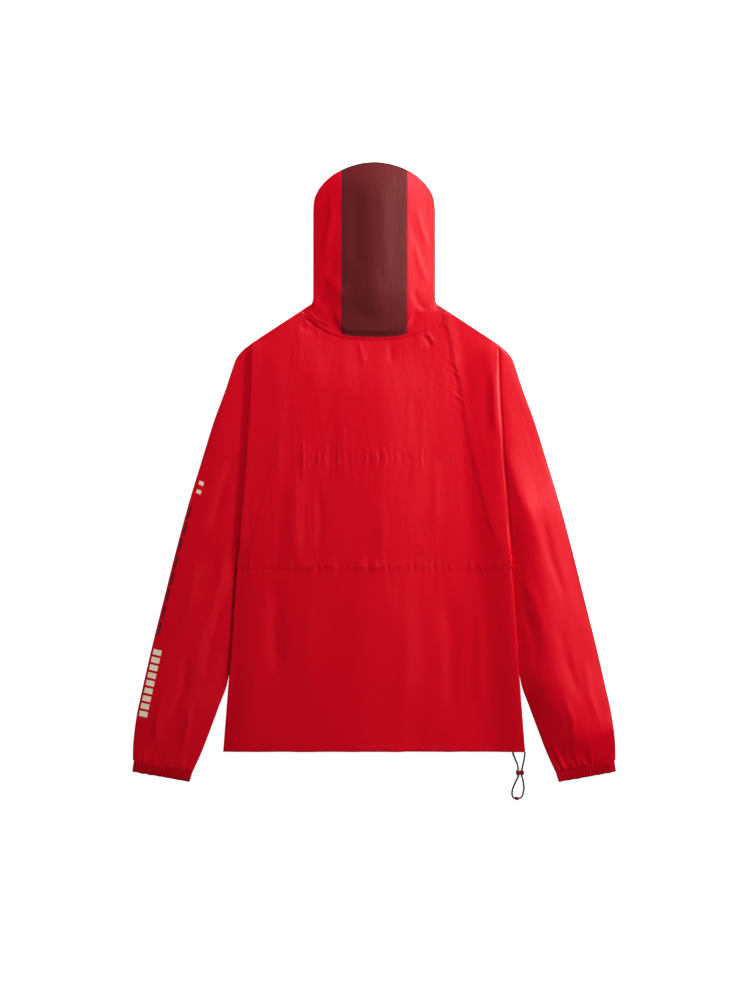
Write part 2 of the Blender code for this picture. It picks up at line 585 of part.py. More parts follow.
@dataclass
class Section:
    """A section of a sleeve: a level line from its inner edge to the start of its outer fold."""

    inner: Vector
    across: Vector      # level unit vector to the outer edge
    length: float
    crest: float        # distance at which it meets the body's side fold
    closed: bool        # below the armpit, where the sleeve is a tube of its own
    slack: float        # share of the sleeve's full height
    side: int           # 1 for the right sleeve, -1 for the left

    def place(self, distance):
        """The place at this distance from the inner edge."""
        return self.inner + self.across * distance

    def top(self, distance):
        """A point on the upper side: the back's form inside the side fold, the sleeve's own outside it."""
        x, y, _ = self.place(distance)
        if distance <= self.crest and not self.closed:
            return top_skin(x, y, back_height(self.side * x, y))
        out = max(distance - self.crest, 0.0)
        fold = 0.0
        if not self.closed:
            crest_x = side_x(y) if y < SIDE_EDGE[0][0] else x
            fall = right_fall(y) if self.side > 0 else left_fall(y)
            fold = (back_height(self.side * crest_x, y) - TWO_LAYERS) * max(1 - out / fall, 0.0) ** FALL_POWER
        return top_skin(x, y, TWO_LAYERS + fold + self.slack * self.air(out, y))

    def air(self, out, y):
        """Height of the air under the top: a long ridge in the right sleeve, a low plateau in the left."""
        width = self.length - self.crest
        to_edge = max(width - out, 0.0)
        settled = CUFF_AIR + (1 - CUFF_AIR) * ease((y - CUFF_TOP) / CUFF_FALL)
        size = settled * ease(width / SLEEVE_FULL_WIDTH)
        if self.side > 0:
            ridge = min(RIDGE_PLACE, width / 2)
            if out < ridge:
                return RIGHT_RIDGE * size * math.sin(math.pi / 2 * out / ridge)
            return RIGHT_RIDGE * size * math.sin(math.pi / 2 * to_edge / (width - ridge)) ** RIDGE_FALL_POWER
        slope = LEFT_EDGE_AIR + (1 - LEFT_EDGE_AIR) * to_edge / width
        rise, drop = 1 - math.exp(-out / LEFT_RISE), 1 - math.exp(-to_edge / LEFT_DROP)
        return LEFT_AIR * size * slope * rise * drop

    def edge(self, upper):
        """The inner edge: cut square at the raglan seam, rounded to the underarm seam below the armpit."""
        skins = []
        for share in EDGE_SHARES:
            if self.closed:
                angle = math.radians(UNDERARM_GAP + (90 - UNDERARM_GAP) * share) * (1 if upper else -1)
                turn = -self.across * math.cos(angle) + UP * math.sin(angle)
                centre = Vector((self.inner.x, self.inner.y, FOLD_RADIUS)) + self.across * FOLD_RADIUS
                skins.append(Skin(centre + turn * FOLD_RADIUS, -turn))
            else:
                x, y, _ = self.place(EDGE_STEP * share)
                top = top_skin(x, y, back_height(self.side * x, y))
                skins.append(top if upper else under_skin(x, y, 0.0))
        return skins if upper else skins[::-1]


def crest_distance(inner, across, length):
    """Distance from the inner edge at which a section meets the body's side fold."""
    low, high = 0.0, length
    for _ in range(30):
        distance = (low + high) / 2
        place = inner + across * distance
        if place.x < side_x(place.y) or place.y > SIDE_EDGE[0][0]:
            low = distance
        else:
            high = distance
    return distance


def build_sleeve(side):
    """A sleeve as skin rows, one section for each station from the neck to the cuff."""
    heights = RAGLAN_ROWS + SLEEVE_LOWER_ROWS
    inner = [Vector((sleeve_inner_x(y) + SEAM_GAP / 2, y, 0)) for y in heights]
    lengths = [0.0]
    for before, after in zip(inner, inner[1:]):
        lengths.append(lengths[-1] + (after - before).length)
    outer = even_path([(x, y, 0) for x, y in SLEEVE_OUTER_EDGE], [length / lengths[-1] for length in lengths])
    outward = level_normals(outer, inner)
    outward[0] = (outer[0] - inner[0]).normalized()
    outward[-1] = (outer[-1] - inner[-1]).normalized()
    rows = []
    for index, start in enumerate(inner):
        turn = outer[index] - outward[index] * FOLD_RADIUS
        across, length = (turn - start).normalized(), (turn - start).length
        section = Section(start, across, length, crest_distance(start, across, length),
                          index >= len(RAGLAN_ROWS) - 1, ease((index - 1) / SLACK_ROWS), side)
        rows.append(sleeve_row(section, outer[index], outward[index]))
    return rows


def sleeve_row(section, outer, outward):
    """The skin points of one section: inner edge, top, outer fold, underside, inner edge."""
    length = section.length
    split = max(section.crest, min(INNER_MIN, SHORT_SHARE * length))
    split = min(split, length - min(OUTER_MIN, SHORT_SHARE * length))
    skins = section.edge(True)
    start = FOLD_RADIUS / 2
    for share in INNER_SHARES:
        skins.append(section.top(start + (split - start) * share))
    step = min(CREST_STEP, CREST_SHARE * (length - split))
    gather = SLEEVE_GATHER_HEIGHT * ease((CUFF_TOP + GATHER_LENGTH - section.inner.y) / GATHER_LENGTH)
    facets = SLEEVE_GATHERS * GATHER_FACETS
    for facet in range(facets + 1):
        share = facet / facets
        skin = section.top(split + step + (length - split - step) * share)
        skin.point.z += gather * (0.5 - 0.5 * math.cos(2 * math.pi * SLEEVE_GATHERS * share))
        skins.append(skin)
    skins += fold_skins(outer, outward, 0.0, skins[-1].point.z)
    for share in UNDER_SHARES:
        place = section.place(length * share)
        skins.append(under_skin(place.x, place.y, 0.0))
    return skins + section.edge(False)


def build_cuff():
    """A cuff as skin rings: a flat tube whose upper side is gathered, with its underside on the surface."""
    lower, upper = ([Vector((*corner, 0.0)) for corner in corners] for corners in (CUFF_LOWER, CUFF_UPPER))
    waves = CUFF_GATHERS * WAVE_STEPS
    rings = []
    for height in CUFF_HEIGHTS:
        inner, outer = (low.lerp(high, height) for low, high in zip(lower, upper))
        across = (outer - inner).normalized()
        level = (outer - inner).length - 2 * FOLD_RADIUS
        ring = []
        for step in range(waves + 1):
            share = step / waves
            place = inner + across * (FOLD_RADIUS + level * share)
            swell = 0.5 - 0.5 * math.cos(2 * math.pi * CUFF_GATHERS * share)
            ring.append(top_skin(place.x, place.y, TWO_LAYERS + CUFF_GATHER_HEIGHT * swell))
        ring += fold_skins(outer, across, 0.0, TWO_LAYERS)
        for share in CUFF_UNDER_SHARES:
            place = inner + across * (FOLD_RADIUS + level * share)
            ring.append(under_skin(place.x, place.y, 0.0))
        ring += fold_skins(inner, -across, 0.0, TWO_LAYERS)[::-1]
        rings.append(ring)
    return rings


# ----------------------------------------------------------------------------------------------------
# Hem cord
# ----------------------------------------------------------------------------------------------------
def build_cord(name, route):
    """A stretch of cord as a round tube with filled ends."""
    curve = bpy.data.curves.new(name, "CURVE")
    curve.dimensions = "3D"
    curve.bevel_depth = CORD_RADIUS * MM
    curve.bevel_resolution = 2
    curve.use_fill_caps = True
    spline = curve.splines.new("POLY")
    points = even_path(route, [i / CORD_SPANS for i in range(CORD_SPANS + 1)])
    spline.points.add(len(points) - 1)
    for spot, point in zip(spline.points, points):
        spot.co = (*(point * MM), 1.0)
    cord = bpy.data.objects.new(name, curve)
    bpy.context.scene.collection.objects.link(cord)
    curve.materials.append(make_material(name, CORD_GREY, 0.7))


def build_lock():
    """The cord lock: a rounded block, flat where the cord passes and narrowed between its two lobes."""
    mesh_builder = bmesh.new()
    bmesh.ops.create_cube(mesh_builder, size=1.0)
    length = LOCK_SIZE[0]
    bmesh.ops.scale(mesh_builder, vec=Vector(LOCK_SIZE), verts=mesh_builder.verts)
    for share in LOCK_CUTS:
        whole = mesh_builder.verts[:] + mesh_builder.edges[:] + mesh_builder.faces[:]
        bmesh.ops.bisect_plane(mesh_builder, geom=whole, plane_co=(share * length, 0, 0), plane_no=(1, 0, 0))
    for vertex in mesh_builder.verts:
        if abs(vertex.co.x) < LOCK_WAIST_HALF * length:
            vertex.co.y *= LOCK_WAIST
            vertex.co.z *= LOCK_WAIST
    corners = [edge for edge in mesh_builder.edges
               if edge.is_manifold and edge.calc_face_angle() > math.radians(LOCK_CORNER)]
    bmesh.ops.bevel(mesh_builder, geom=corners, offset=LOCK_ROUNDING, segments=2, affect="EDGES", profile=0.5)
    bmesh.ops.transform(mesh_builder, matrix=matrix_of(LOCK_CENTRE), verts=mesh_builder.verts)
    bmesh.ops.triangulate(mesh_builder, faces=mesh_builder.faces)
    add_object("cord_lock", mesh_builder, LOCK_RED, 0.4)


def build_bead():
    """The bead that closes the loop of cord."""
    mesh_builder = bmesh.new()
    bmesh.ops.create_icosphere(mesh_builder, subdivisions=2, radius=0.5)
    bmesh.ops.scale(mesh_builder, vec=Vector(BEAD_SIZE), verts=mesh_builder.verts)
    bmesh.ops.transform(mesh_builder, matrix=matrix_of(BEAD_CENTRE), verts=mesh_builder.verts)
    add_object("cord_end", mesh_builder, LOCK_RED, 0.4)


def matrix_of(place):
    """Scale millimetres to metres and move to a place."""
    return Matrix.Scale(MM, 4) @ Matrix.Translation(Vector(place))


def build_pairs():
    """The pieces that come in pairs, the left one mirrored."""
    for kind, right, left, ring in (
        ("hood_side", build_hood_side(), build_hood_side(), False),
        ("sleeve", build_sleeve(1), build_sleeve(-1), False),
        ("cuff", build_cuff(), build_cuff(), True),
    ):
        make_wall(kind + "_right", right, RED, ring=ring)
        make_wall(kind + "_left", [[skin.mirrored() for skin in row] for row in left], RED, ring=ring)


def build_anorak():
    """Clear the scene and build every piece."""
    for old in list(bpy.data.objects):
        bpy.data.objects.remove(old)
    build_back()
    build_front()
    build_neck_tape()
    build_hood_centre()
    build_pairs()
    for name, route in CORD_ROUTES.items():
        build_cord(name, route)
    build_lock()
    build_bead()


build_anorak()
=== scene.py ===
"""Looks of the laid-out anorak pullover: thin cloth shells, stitching, gathers, printed bars, hem cord.

The garment lies on its front with its back up.  X runs across it, +Y to the hood and +Z up.  Sizes are
written in millimetres, as a pattern cutter has them, and become metres where a mesh is made.
"""
import logging
import math
from dataclasses import dataclass
from enum import Enum
from typing import Callable, Sequence

import bmesh
import bpy
import numpy as np
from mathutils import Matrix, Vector


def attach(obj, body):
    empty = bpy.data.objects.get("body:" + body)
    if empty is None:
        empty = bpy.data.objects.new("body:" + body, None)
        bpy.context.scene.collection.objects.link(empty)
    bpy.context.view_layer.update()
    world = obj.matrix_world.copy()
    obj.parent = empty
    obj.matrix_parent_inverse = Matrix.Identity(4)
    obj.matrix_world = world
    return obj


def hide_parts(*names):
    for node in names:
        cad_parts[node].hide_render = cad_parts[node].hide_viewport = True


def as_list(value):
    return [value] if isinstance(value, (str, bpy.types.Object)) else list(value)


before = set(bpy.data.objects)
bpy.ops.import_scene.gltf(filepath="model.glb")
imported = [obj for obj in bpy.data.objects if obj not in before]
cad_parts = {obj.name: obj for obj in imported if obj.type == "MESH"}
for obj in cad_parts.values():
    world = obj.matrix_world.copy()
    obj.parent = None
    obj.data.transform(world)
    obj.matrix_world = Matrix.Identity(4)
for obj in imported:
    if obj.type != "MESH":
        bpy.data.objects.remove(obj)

LOG = logging.getLogger("anorak")
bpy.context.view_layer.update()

Array = np.ndarray
Material = bpy.types.Material
Node = bpy.types.Node
NodeTree = bpy.types.NodeTree
Piece = bpy.types.Object
Socket = bpy.types.NodeSocket
Colour = tuple[float, float, float]
Columns = tuple[Array, Array]     # skin columns: their points and the directions that lead into the cloth
Place = tuple[float, float, float]
MM = 0.001
ROOT = "root"

# Cloth and how it lies, as in the solids
WALL = 1.5
LAYER_GAP = 0.4
FOLD_RADIUS = WALL + LAYER_GAP / 2
TWO_LAYERS = 2 * FOLD_RADIUS
SHELL = 0.7                       # thickness of a finished cloth shell
PRESSED = 0.47                    # share of its height that the left sleeve keeps under the body's side edge

NECK_HALF = 124.0
YOKE_LINE = 25.0                  # heights y of the two stitched lines and of the hem
WAIST_LINE = -171.7
HEM_LINE = -503.0
LIFT_START = -155.0               # below this the front climbs onto the sleeves along its side edges
EDGE_BAND = 7.0                   # how far in from its edge it lies on the sleeve, and where it has come down
EDGE_RAMP = 17.0
HOOD_HALF = 109.4
HOOD_CROWN_Y = 473.0              # where the crown's curve starts, how far it rises and how it bends
HOOD_CROWN_HEIGHT = 83.0
HOOD_CROWN_POWER = 1.85
BAND_HALF = 59.0                  # half width of the hood's centre panel, and how far it runs back underneath
BAND_RETURN = 45.0
CUFF_DEPTH = 21.0
CUFF_TOP = -537.0
EDGE_ANGLES = (72, 54, 38, 20, 1)   # columns round half of the body's side edge, degrees above the seam
MIRROR = np.array([-1.0, 1.0, 1.0])
# inner and outer corner, x and y
CUFF_LOWER = ((331.5, -557.3), (434.5, -538.5))
CUFF_UPPER = ((324.9, -537.0), (431.6, -518.4))

# height y, half width x
RAGLAN_SEAM = (
    (282.5, 124.0), (252.0, 131.5), (218.0, 139.0), (163.8, 149.8), (122.4, 158.0), (63.0, 167.8),
    (23.4, 175.7), (-40.5, 191.2), (-84.6, 203.0), (-115.2, 211.5), (-140.0, 221.0), (-157.0, 231.5),
    (-171.7, 246.5),
)
SIDE_EDGE = (
    (227.0, 219.0), (147.6, 221.4), (72.0, 225.6), (15.3, 229.0), (-64.8, 235.6), (-135.0, 241.6),
    (-171.7, 246.5), (-230.4, 251.2), (-376.0, 261.4), (-503.0, 271.3),
)
UNDERARM_EDGE = (
    (-171.7, 246.5), (-195.0, 246.0), (-225.0, 246.5), (-275.0, 249.5), (-325.0, 255.0), (-381.6, 264.0),
    (-419.4, 277.5), (-462.6, 293.6), (-505.8, 310.3), (-537.0, 324.5),
)
# x, y
SLEEVE_OUTER_EDGE = (
    (132.2, 288.3), (178.0, 258.4), (223.6, 227.9), (236.2, 217.4), (245.2, 207.0), (250.6, 196.2),
    (257.8, 174.6), (268.6, 142.2), (288.4, 88.2), (311.8, 12.6), (331.6, -52.2), (355.0, -138.6),
    (376.6, -225.0), (398.2, -311.4), (418.0, -397.8), (427.0, -441.0), (432.4, -484.2), (433.5, -518.0),
)
# x, height of the neck seam at the back, and at the front
NECK_SEAM = (
    (0.0, 241.5, 195.0), (20.0, 242.0, 197.0), (40.0, 243.5, 203.0), (59.0, 247.0, 212.5),
    (75.0, 251.0, 224.0), (92.0, 258.0, 241.0), (108.0, 269.0, 260.0), (118.0, 276.5, 273.0),
    (124.0, 282.5, 282.5), (132.2, 288.6, 288.6),
)
# height of a section's start on the centre panel's seam, its place on the outline and at the face opening
HOOD_SECTIONS = (
    (247.0, 132.2, 288.6, 1.0, 195.0), (262.0, 120.5, 296.2, 6.0, 212.0),
    (278.0, 111.6, 302.6, 16.0, 232.0), (296.0, 109.4, 314.0, 28.0, 254.0),
    (318.0, 109.4, 333.0, 41.0, 280.0), (345.0, 109.4, 357.0, 52.0, 310.0),
    (372.0, 109.4, 382.0, 59.0, 344.0), (400.0, 109.4, 410.0, 62.0, 380.0),
    (428.0, 109.4, 438.0, 63.5, 414.0), (454.0, 109.4, 464.0, 64.0, 442.0),
    (474.0, 107.7, 487.0, 63.5, 460.0), (491.0, 101.4, 503.1, 63.0, 473.0),
    (505.0, 90.7, 517.9, 62.0, 483.0), (517.0, 77.4, 530.1, 61.0, 490.0),
    (526.0, 67.4, 536.9, 60.0, 495.0), (533.0, 59.0, 541.5, 59.0, 498.0),
)
# height y, how high the front's underside lies on the sleeves along its side edges
FRONT_LIFT = ((LIFT_START, 0.0), (WAIST_LINE, 3.8), (-382.0, 3.8), (-440.0, 0.6), (-503.0, 0.2))
# height y, height of the right and the left side fold, which run from the shoulder to the hem
FOLD_HEIGHT = (
    (300.0, 0.0, 0.0), (245.0, 0.6, 0.4), (215.0, 3.4, 2.2), (147.0, 5.4, 2.6), (60.0, 6.0, 2.8),
    (0.0, 6.4, 3.0), (-100.0, 7.2, 3.2), (-171.7, 8.0, 2.6), (-240.0, 8.0, 2.1), (-382.0, 8.0, 2.0),
    (-440.0, 7.4, 1.0), (-503.0, 6.0, 0.5),
)
# height y, width of the rise to the right fold's crest, how much of it lies close to the crest, and the
# width at the left
FOLD_SPREAD = (
    (300.0, 40.0, 1.0, 40.0), (227.0, 60.0, 1.0, 60.0), (147.0, 70.0, 1.0, 80.0),
    (-60.0, 74.0, 1.0, 80.0), (-171.7, 100.0, 2.2, 70.0), (-240.0, 128.0, 3.6, 70.0),
    (-503.0, 128.0, 3.6, 70.0),
)
# height y, width over which the left sleeve falls away outside the fold
FOLD_FALL = ((300.0, 10.0), (227.0, 14.0), (150.0, 16.0), (-60.0, 16.0), (-130.0, 14.0), (-171.7, 10.0))
# height y, and for the right sleeve's ridge of air: how far outside the fold it lies, how high it is, and how
# much of it falls to the edge
SLEEVE_RIDGE = (
    (300.0, 12.0, 0.3, 0.1), (150.0, 16.0, 0.4, 0.2), (56.0, 22.0, 1.0, 0.48), (-60.0, 42.0, 4.4, 0.76),
    (-124.0, 52.0, 6.6, 0.84), (-260.0, 60.0, 8.6, 0.84), (-340.0, 62.0, 9.6, 0.78),
    (-420.0, 68.0, 10.4, 0.42), (-484.0, 82.0, 10.4, 0.1), (-537.0, 84.0, 2.9, 0.1),
)
# share of the body's half width, height of the air under the back
BODY_PROFILE = (
    (-1.0, 0.0), (-0.93, 0.3), (-0.74, 2.7), (-0.45, 3.2), (-0.2, 3.8), (0.04, 4.6), (0.26, 3.0),
    (0.5, 0.7), (0.75, 0.1), (1.0, 0.0),
)


class Side(Enum):
    """Which half of the garment a piece belongs to, seen from above."""

    LEFT = -1
    RIGHT = 1

    @property
    def word(self) -> str:
        """The side as it stands in a piece's name."""
        return self.name.lower()


# ---- Curves and noise --------------------------------------------
def smooth(rows: Sequence[Sequence[float]]) -> Callable[[Array], Array]:
    """Make a smooth function through rows of (position, value), level beyond its ends.

    Args:
        rows: positions and values, in any order.

    Returns:
        A function of an array of positions.
    """
    ordered = sorted(row[:2] for row in rows)
    places = np.array([row[0] for row in ordered])
    values = np.array([row[1] for row in ordered])
    steps = np.diff(values) / np.diff(places)
    before, after = steps[:-1], steps[1:]
    total = np.where(before + after == 0, 1.0, before + after)
    inner = np.where(before * after <= 0, 0.0, 2 * before * after / total)
    slopes = np.concatenate([steps[:1], inner, steps[-1:]])

    def value_at(place: Array) -> Array:
        """Value at each place."""
        place = np.clip(place, places[0], places[-1])
        i = np.clip(np.searchsorted(places, place, side="right") - 1, 0, len(places) - 2)
        width = places[i + 1] - places[i]
        t = (place - places[i]) / width
        start = (2 * t**3 - 3 * t**2 + 1) * values[i] + (t**3 - 2 * t**2 + t) * width * slopes[i]
        return start + (3 * t**2 - 2 * t**3) * values[i + 1] + (t**3 - t**2) * width * slopes[i + 1]

    return value_at


def ease(share: Array) -> Array:
    """Rise smoothly from 0 to 1 as share goes from 0 to 1."""
    share = np.clip(share, 0.0, 1.0)
    return share * share * (3 - 2 * share)


def run_along(points: Array) -> Array:
    """Distance from the first point of a line, or of each row of a grid, to each of its points."""
    steps = np.linalg.norm(np.diff(points, axis=-2), axis=-1)
    return np.concatenate([np.zeros_like(steps[..., :1]), np.cumsum(steps, axis=-1)], axis=-1)


def path_points(points: Sequence[Sequence[float]], shares: Array) -> Array:
    """Place points on a smooth curve through the given ones.

    Args:
        points: the curve's own points.
        shares: how far along the curve each wanted point lies, from 0 to 1.

    Returns:
        One row for each share.
    """
    known = np.array(points, float)
    ends = np.vstack([2 * known[0] - known[1], known, 2 * known[-1] - known[-2]])
    t = np.linspace(0, 1, 16, endpoint=False)[:, None]
    spans = []
    for a, b, c, d in zip(ends, ends[1:], ends[2:], ends[3:]):
        spans.append(0.5 * (2 * b + (c - a) * t + (2 * a - 5 * b + 4 * c - d) * t**2
                            + (3 * b - a - 3 * c + d) * t**3))
    fine = np.vstack(spans + [known[-1:]])
    lengths = run_along(fine)
    wanted = np.asarray(shares) * lengths[-1]
    return np.stack([np.interp(wanted, lengths, fine[:, k]) for k in range(known.shape[1])], axis=1)


def around_line(beside: Array, above: Array, turn: Array) -> Array:
    """Unit steps away from the points of a line, at each of these turns from beside it to above it."""
    return beside[:, None, :] * np.cos(turn)[None, :, None] + above[:, None, :] * np.sin(turn)[None, :, None]


def grain_noise(across: Array, along: Array, seed: int) -> Array:
    """Soft noise from -1 to 1 on a square lattice, in lattice steps.

    Args:
        across: first coordinate, in lattice steps.
        along: second coordinate, in lattice steps.
        seed: which lattice to use.

    Returns:
        The noise at each place.
    """
    size = 256
    lattice = np.random.default_rng(seed).uniform(-1, 1, (size, size))
    i, j = np.floor(across).astype(int), np.floor(along).astype(int)
    s, t = ease(across - i), ease(along - j)
    i, j = i % size, j % size
    i2, j2 = (i + 1) % size, (j + 1) % size
    low = lattice[i, j] * (1 - s) + lattice[i2, j] * s
    high = lattice[i, j2] * (1 - s) + lattice[i2, j2] * s
    return low * (1 - t) + high * t


# ---- Relief: creases and puckers ---------------------------------
@dataclass(frozen=True)
class Crease:
    """A soft ridge, or a trough where its height is negative, along a line on the cloth."""

    points: tuple[tuple[float, float], ...]
    width: float
    height: float

    def relief(self, x: Array, y: Array) -> Array:
        """Height that the crease adds at each place.

        Args:
            x, y: the places.

        Returns:
            The height, soft beside the line and at its ends.
        """
        lengths = [math.dist(a, b) for a, b in zip(self.points, self.points[1:])]
        total = sum(lengths)
        best = np.full(np.shape(x), 1e9)
        along = np.zeros(np.shape(x))
        run = 0.0
        for (ax, ay), (bx, by), length in zip(self.points, self.points[1:], lengths):
            t = np.clip(((x - ax) * (bx - ax) + (y - ay) * (by - ay)) / length**2, 0, 1)
            distance = np.hypot(x - ax - t * (bx - ax), y - ay - t * (by - ay))
            nearer = distance < best
            best = np.where(nearer, distance, best)
            along = np.where(nearer, (run + t * length) / total, along)
            run += length
        taper = ease(along / 0.3) * ease((1 - along) / 0.3)
        return self.height * np.exp(-((best / self.width) ** 2)) * taper


def creased(relief: Array | float, x: Array, y: Array, creases: list[Crease]) -> Array:
    """The given height with the height that a set of creases adds at each place."""
    for crease in creases:
        relief = relief + crease.relief(x, y)
    return relief


# Creases, given one by one.  Each row has the points of its line, its width and its height.
BODY_CREASES = [Crease(*row) for row in (
    (((-118, 290), (-96, 272), (-78, 254)), 5.0, 0.8),
    (((-124, 276), (-104, 262), (-84, 250)), 6.0, -0.9),
    (((-138, 262), (-118, 256), (-100, 248)), 7.0, -0.8),
    (((92, 250), (101, 241), (108, 228)), 4.0, 0.6),
    (((84, 246), (96, 236), (104, 220)), 4.5, -0.5),
    (((222, 222), (226, 206), (227, 186)), 3.0, 1.2),
    (((214, 190), (216, 120), (218, 60)), 7.0, 0.9),
    (((196, 200), (200, 120), (206, 40)), 11.0, -0.8),
    (((236, 104), (246, 96), (256, 98)), 2.5, 0.5),
    (((238, 92), (248, 84), (258, 90)), 3.0, -0.5),
    (((-30, 236), (-22, 214), (-20, 188)), 5.0, 0.5),
    (((34, 236), (30, 216), (31, 190)), 6.0, -0.5),
    (((-128, 60), (-127, 20), (-131, -14)), 3.0, 0.5),
    (((-137, 10), (-144, -90), (-142, -190)), 17.0, 1.3),
    (((-60, 110), (-57, 50), (-62, -20)), 8.0, 0.35),
    (((70, 150), (74, 80), (70, 20)), 9.0, -0.4),
    (((106, 40), (112, -40), (108, -120)), 8.0, 0.4),
    (((-100, -30), (-96, -90), (-101, -150)), 7.0, -0.6),
    (((10, -40), (14, -100), (8, -160)), 9.0, 0.4),
    (((-170, -190), (-176, -290), (-172, -380)), 14.0, -1.4),
    (((-120, -220), (-124, -330), (-118, -430)), 16.0, 0.9),
    (((52, -210), (58, -330), (50, -440)), 18.0, 0.9),
    (((132, -200), (140, -320), (136, -450)), 14.0, -0.9),
    (((186, -230), (190, -330), (188, -420)), 10.0, 0.8),
)]
FRONT_CREASES = [Crease(*row) for row in (
    (((-150, -220), (-158, -320), (-150, -420)), 12.0, 0.9),
    (((60, -160), (52, -260), (66, -380)), 15.0, 0.8),
    (((-40, 60), (-36, -30), (-48, -120)), 12.0, 0.8),
    (((110, 120), (118, 40), (108, -60)), 9.0, 0.9),
    (((-90, 210), (-70, 190), (-40, 176)), 6.0, 0.9),
    (((80, 214), (58, 192), (30, 178)), 6.0, 0.8),
)]
HOOD_CREASES = [Crease(*row) for row in (
    (((74, 478), (84, 440), (98, 398)), 5.0, 0.35),
    (((66, 452), (78, 404), (92, 372)), 6.0, -0.3),
    (((72, 420), (82, 372), (99, 330)), 6.0, 0.35),
    (((66, 330), (80, 300), (102, 288)), 6.0, -0.5),
    (((70, 290), (90, 286), (110, 297)), 5.0, 0.4),
    (((-72, 500), (-80, 440), (-94, 380)), 7.0, 0.7),
    (((-66, 400), (-78, 350), (-98, 314)), 8.0, -0.7),
    (((-46, 300), (-68, 328), (-92, 356)), 13.0, 1.3),
    (((-66, 278), (-88, 300), (-106, 322)), 10.0, -0.7),
    (((-122, 292), (-104, 273), (-88, 268), (-72, 254)), 2.6, 0.4),
    (((-30, 520), (-34, 440), (-28, 350)), 12.0, -0.8),
    (((20, 530), (16, 440), (22, 330)), 14.0, 0.7),
    (((-44, 300), (-20, 280), (14, 276)), 10.0, -0.7),
)]
# on the sleeves by distance from the outer edge and height
SLEEVE_CREASES = {
    Side.RIGHT: [Crease(*row) for row in (
        (((60, 60), (66, -20), (58, -100)), 9.0, 0.7),
        (((34, -60), (40, -150), (32, -240)), 8.0, -0.7),
        (((96, -180), (84, -260), (88, -330)), 10.0, 0.9),
        (((52, -260), (58, -340), (48, -420)), 9.0, -0.8),
        (((110, -230), (104, -300), (112, -370)), 8.0, -0.8),
        (((24, -330), (30, -400), (22, -460)), 7.0, 0.7),
        (((76, -400), (70, -450), (74, -500)), 6.0, 0.8),
    )],
    Side.LEFT: [Crease(*row) for row in (
        (((54, 40), (48, -40), (56, -120)), 9.0, -0.7),
        (((80, -120), (90, -200), (82, -280)), 10.0, 0.8),
        (((36, -150), (44, -230), (38, -310)), 8.0, 0.6),
        (((104, -220), (98, -300), (106, -380)), 9.0, -0.9),
        (((62, -320), (70, -390), (60, -460)), 8.0, -0.8),
        (((40, -400), (34, -450), (42, -500)), 6.0, 0.7),
        (((86, -410), (92, -460), (84, -505)), 6.0, 0.8),
    )],
}


@dataclass(frozen=True)
class Puckers:
    """The small uneven gathers that a line of stitching pulls into light cloth."""

    pitch: float
    height: float
    reach_in: float
    reach_out: float
    slant: float
    seed: int

    def relief(self, along: Array, away: Array) -> Array:
        """Height added at a place this far along the seam and this far away from it.

        Args:
            along: distance along the seam.
            away: distance from it, over 0 on its outer side.

        Returns:
            The height, which fades away from the seam.
        """
        reach = np.where(away > 0, self.reach_out, self.reach_in)
        run = along + self.slant * away
        wave = grain_noise(run / self.pitch, np.abs(away) / 40.0 + 5.0, self.seed)
        wave = wave + 0.6 * grain_noise(run / (self.pitch * 0.45), np.abs(away) / 12.0, self.seed + 1)
        strength = 0.55 + 0.45 * grain_noise(along / 38.0, 0 * along, self.seed + 2)
        near = np.exp(-np.abs(away) / reach) * (0.75 + 0.25 * ease(np.abs(away) / 2.5))
        return self.height * wave * strength * near


@dataclass(frozen=True)
class SeamLine:
    """The groove at a seam, and the flat felled ridge that lies beside it on one side."""

    depth: float
    ridge: float
    ridge_width: float

    def relief(self, away: Array) -> Array:
        """Height added at this signed distance from the seam, the ridge on the positive side."""
        groove = -self.depth * np.exp(-((away / 1.1) ** 2))
        ridge = self.ridge * ease(away / 1.2) * ease((self.ridge_width + 1.0 - away) / 2.0)
        stitched = -0.5 * self.depth * np.exp(-(((away - self.ridge_width + 1.2) / 0.9) ** 2))
        return groove + np.where(away > 0, ridge + stitched, 0.0)


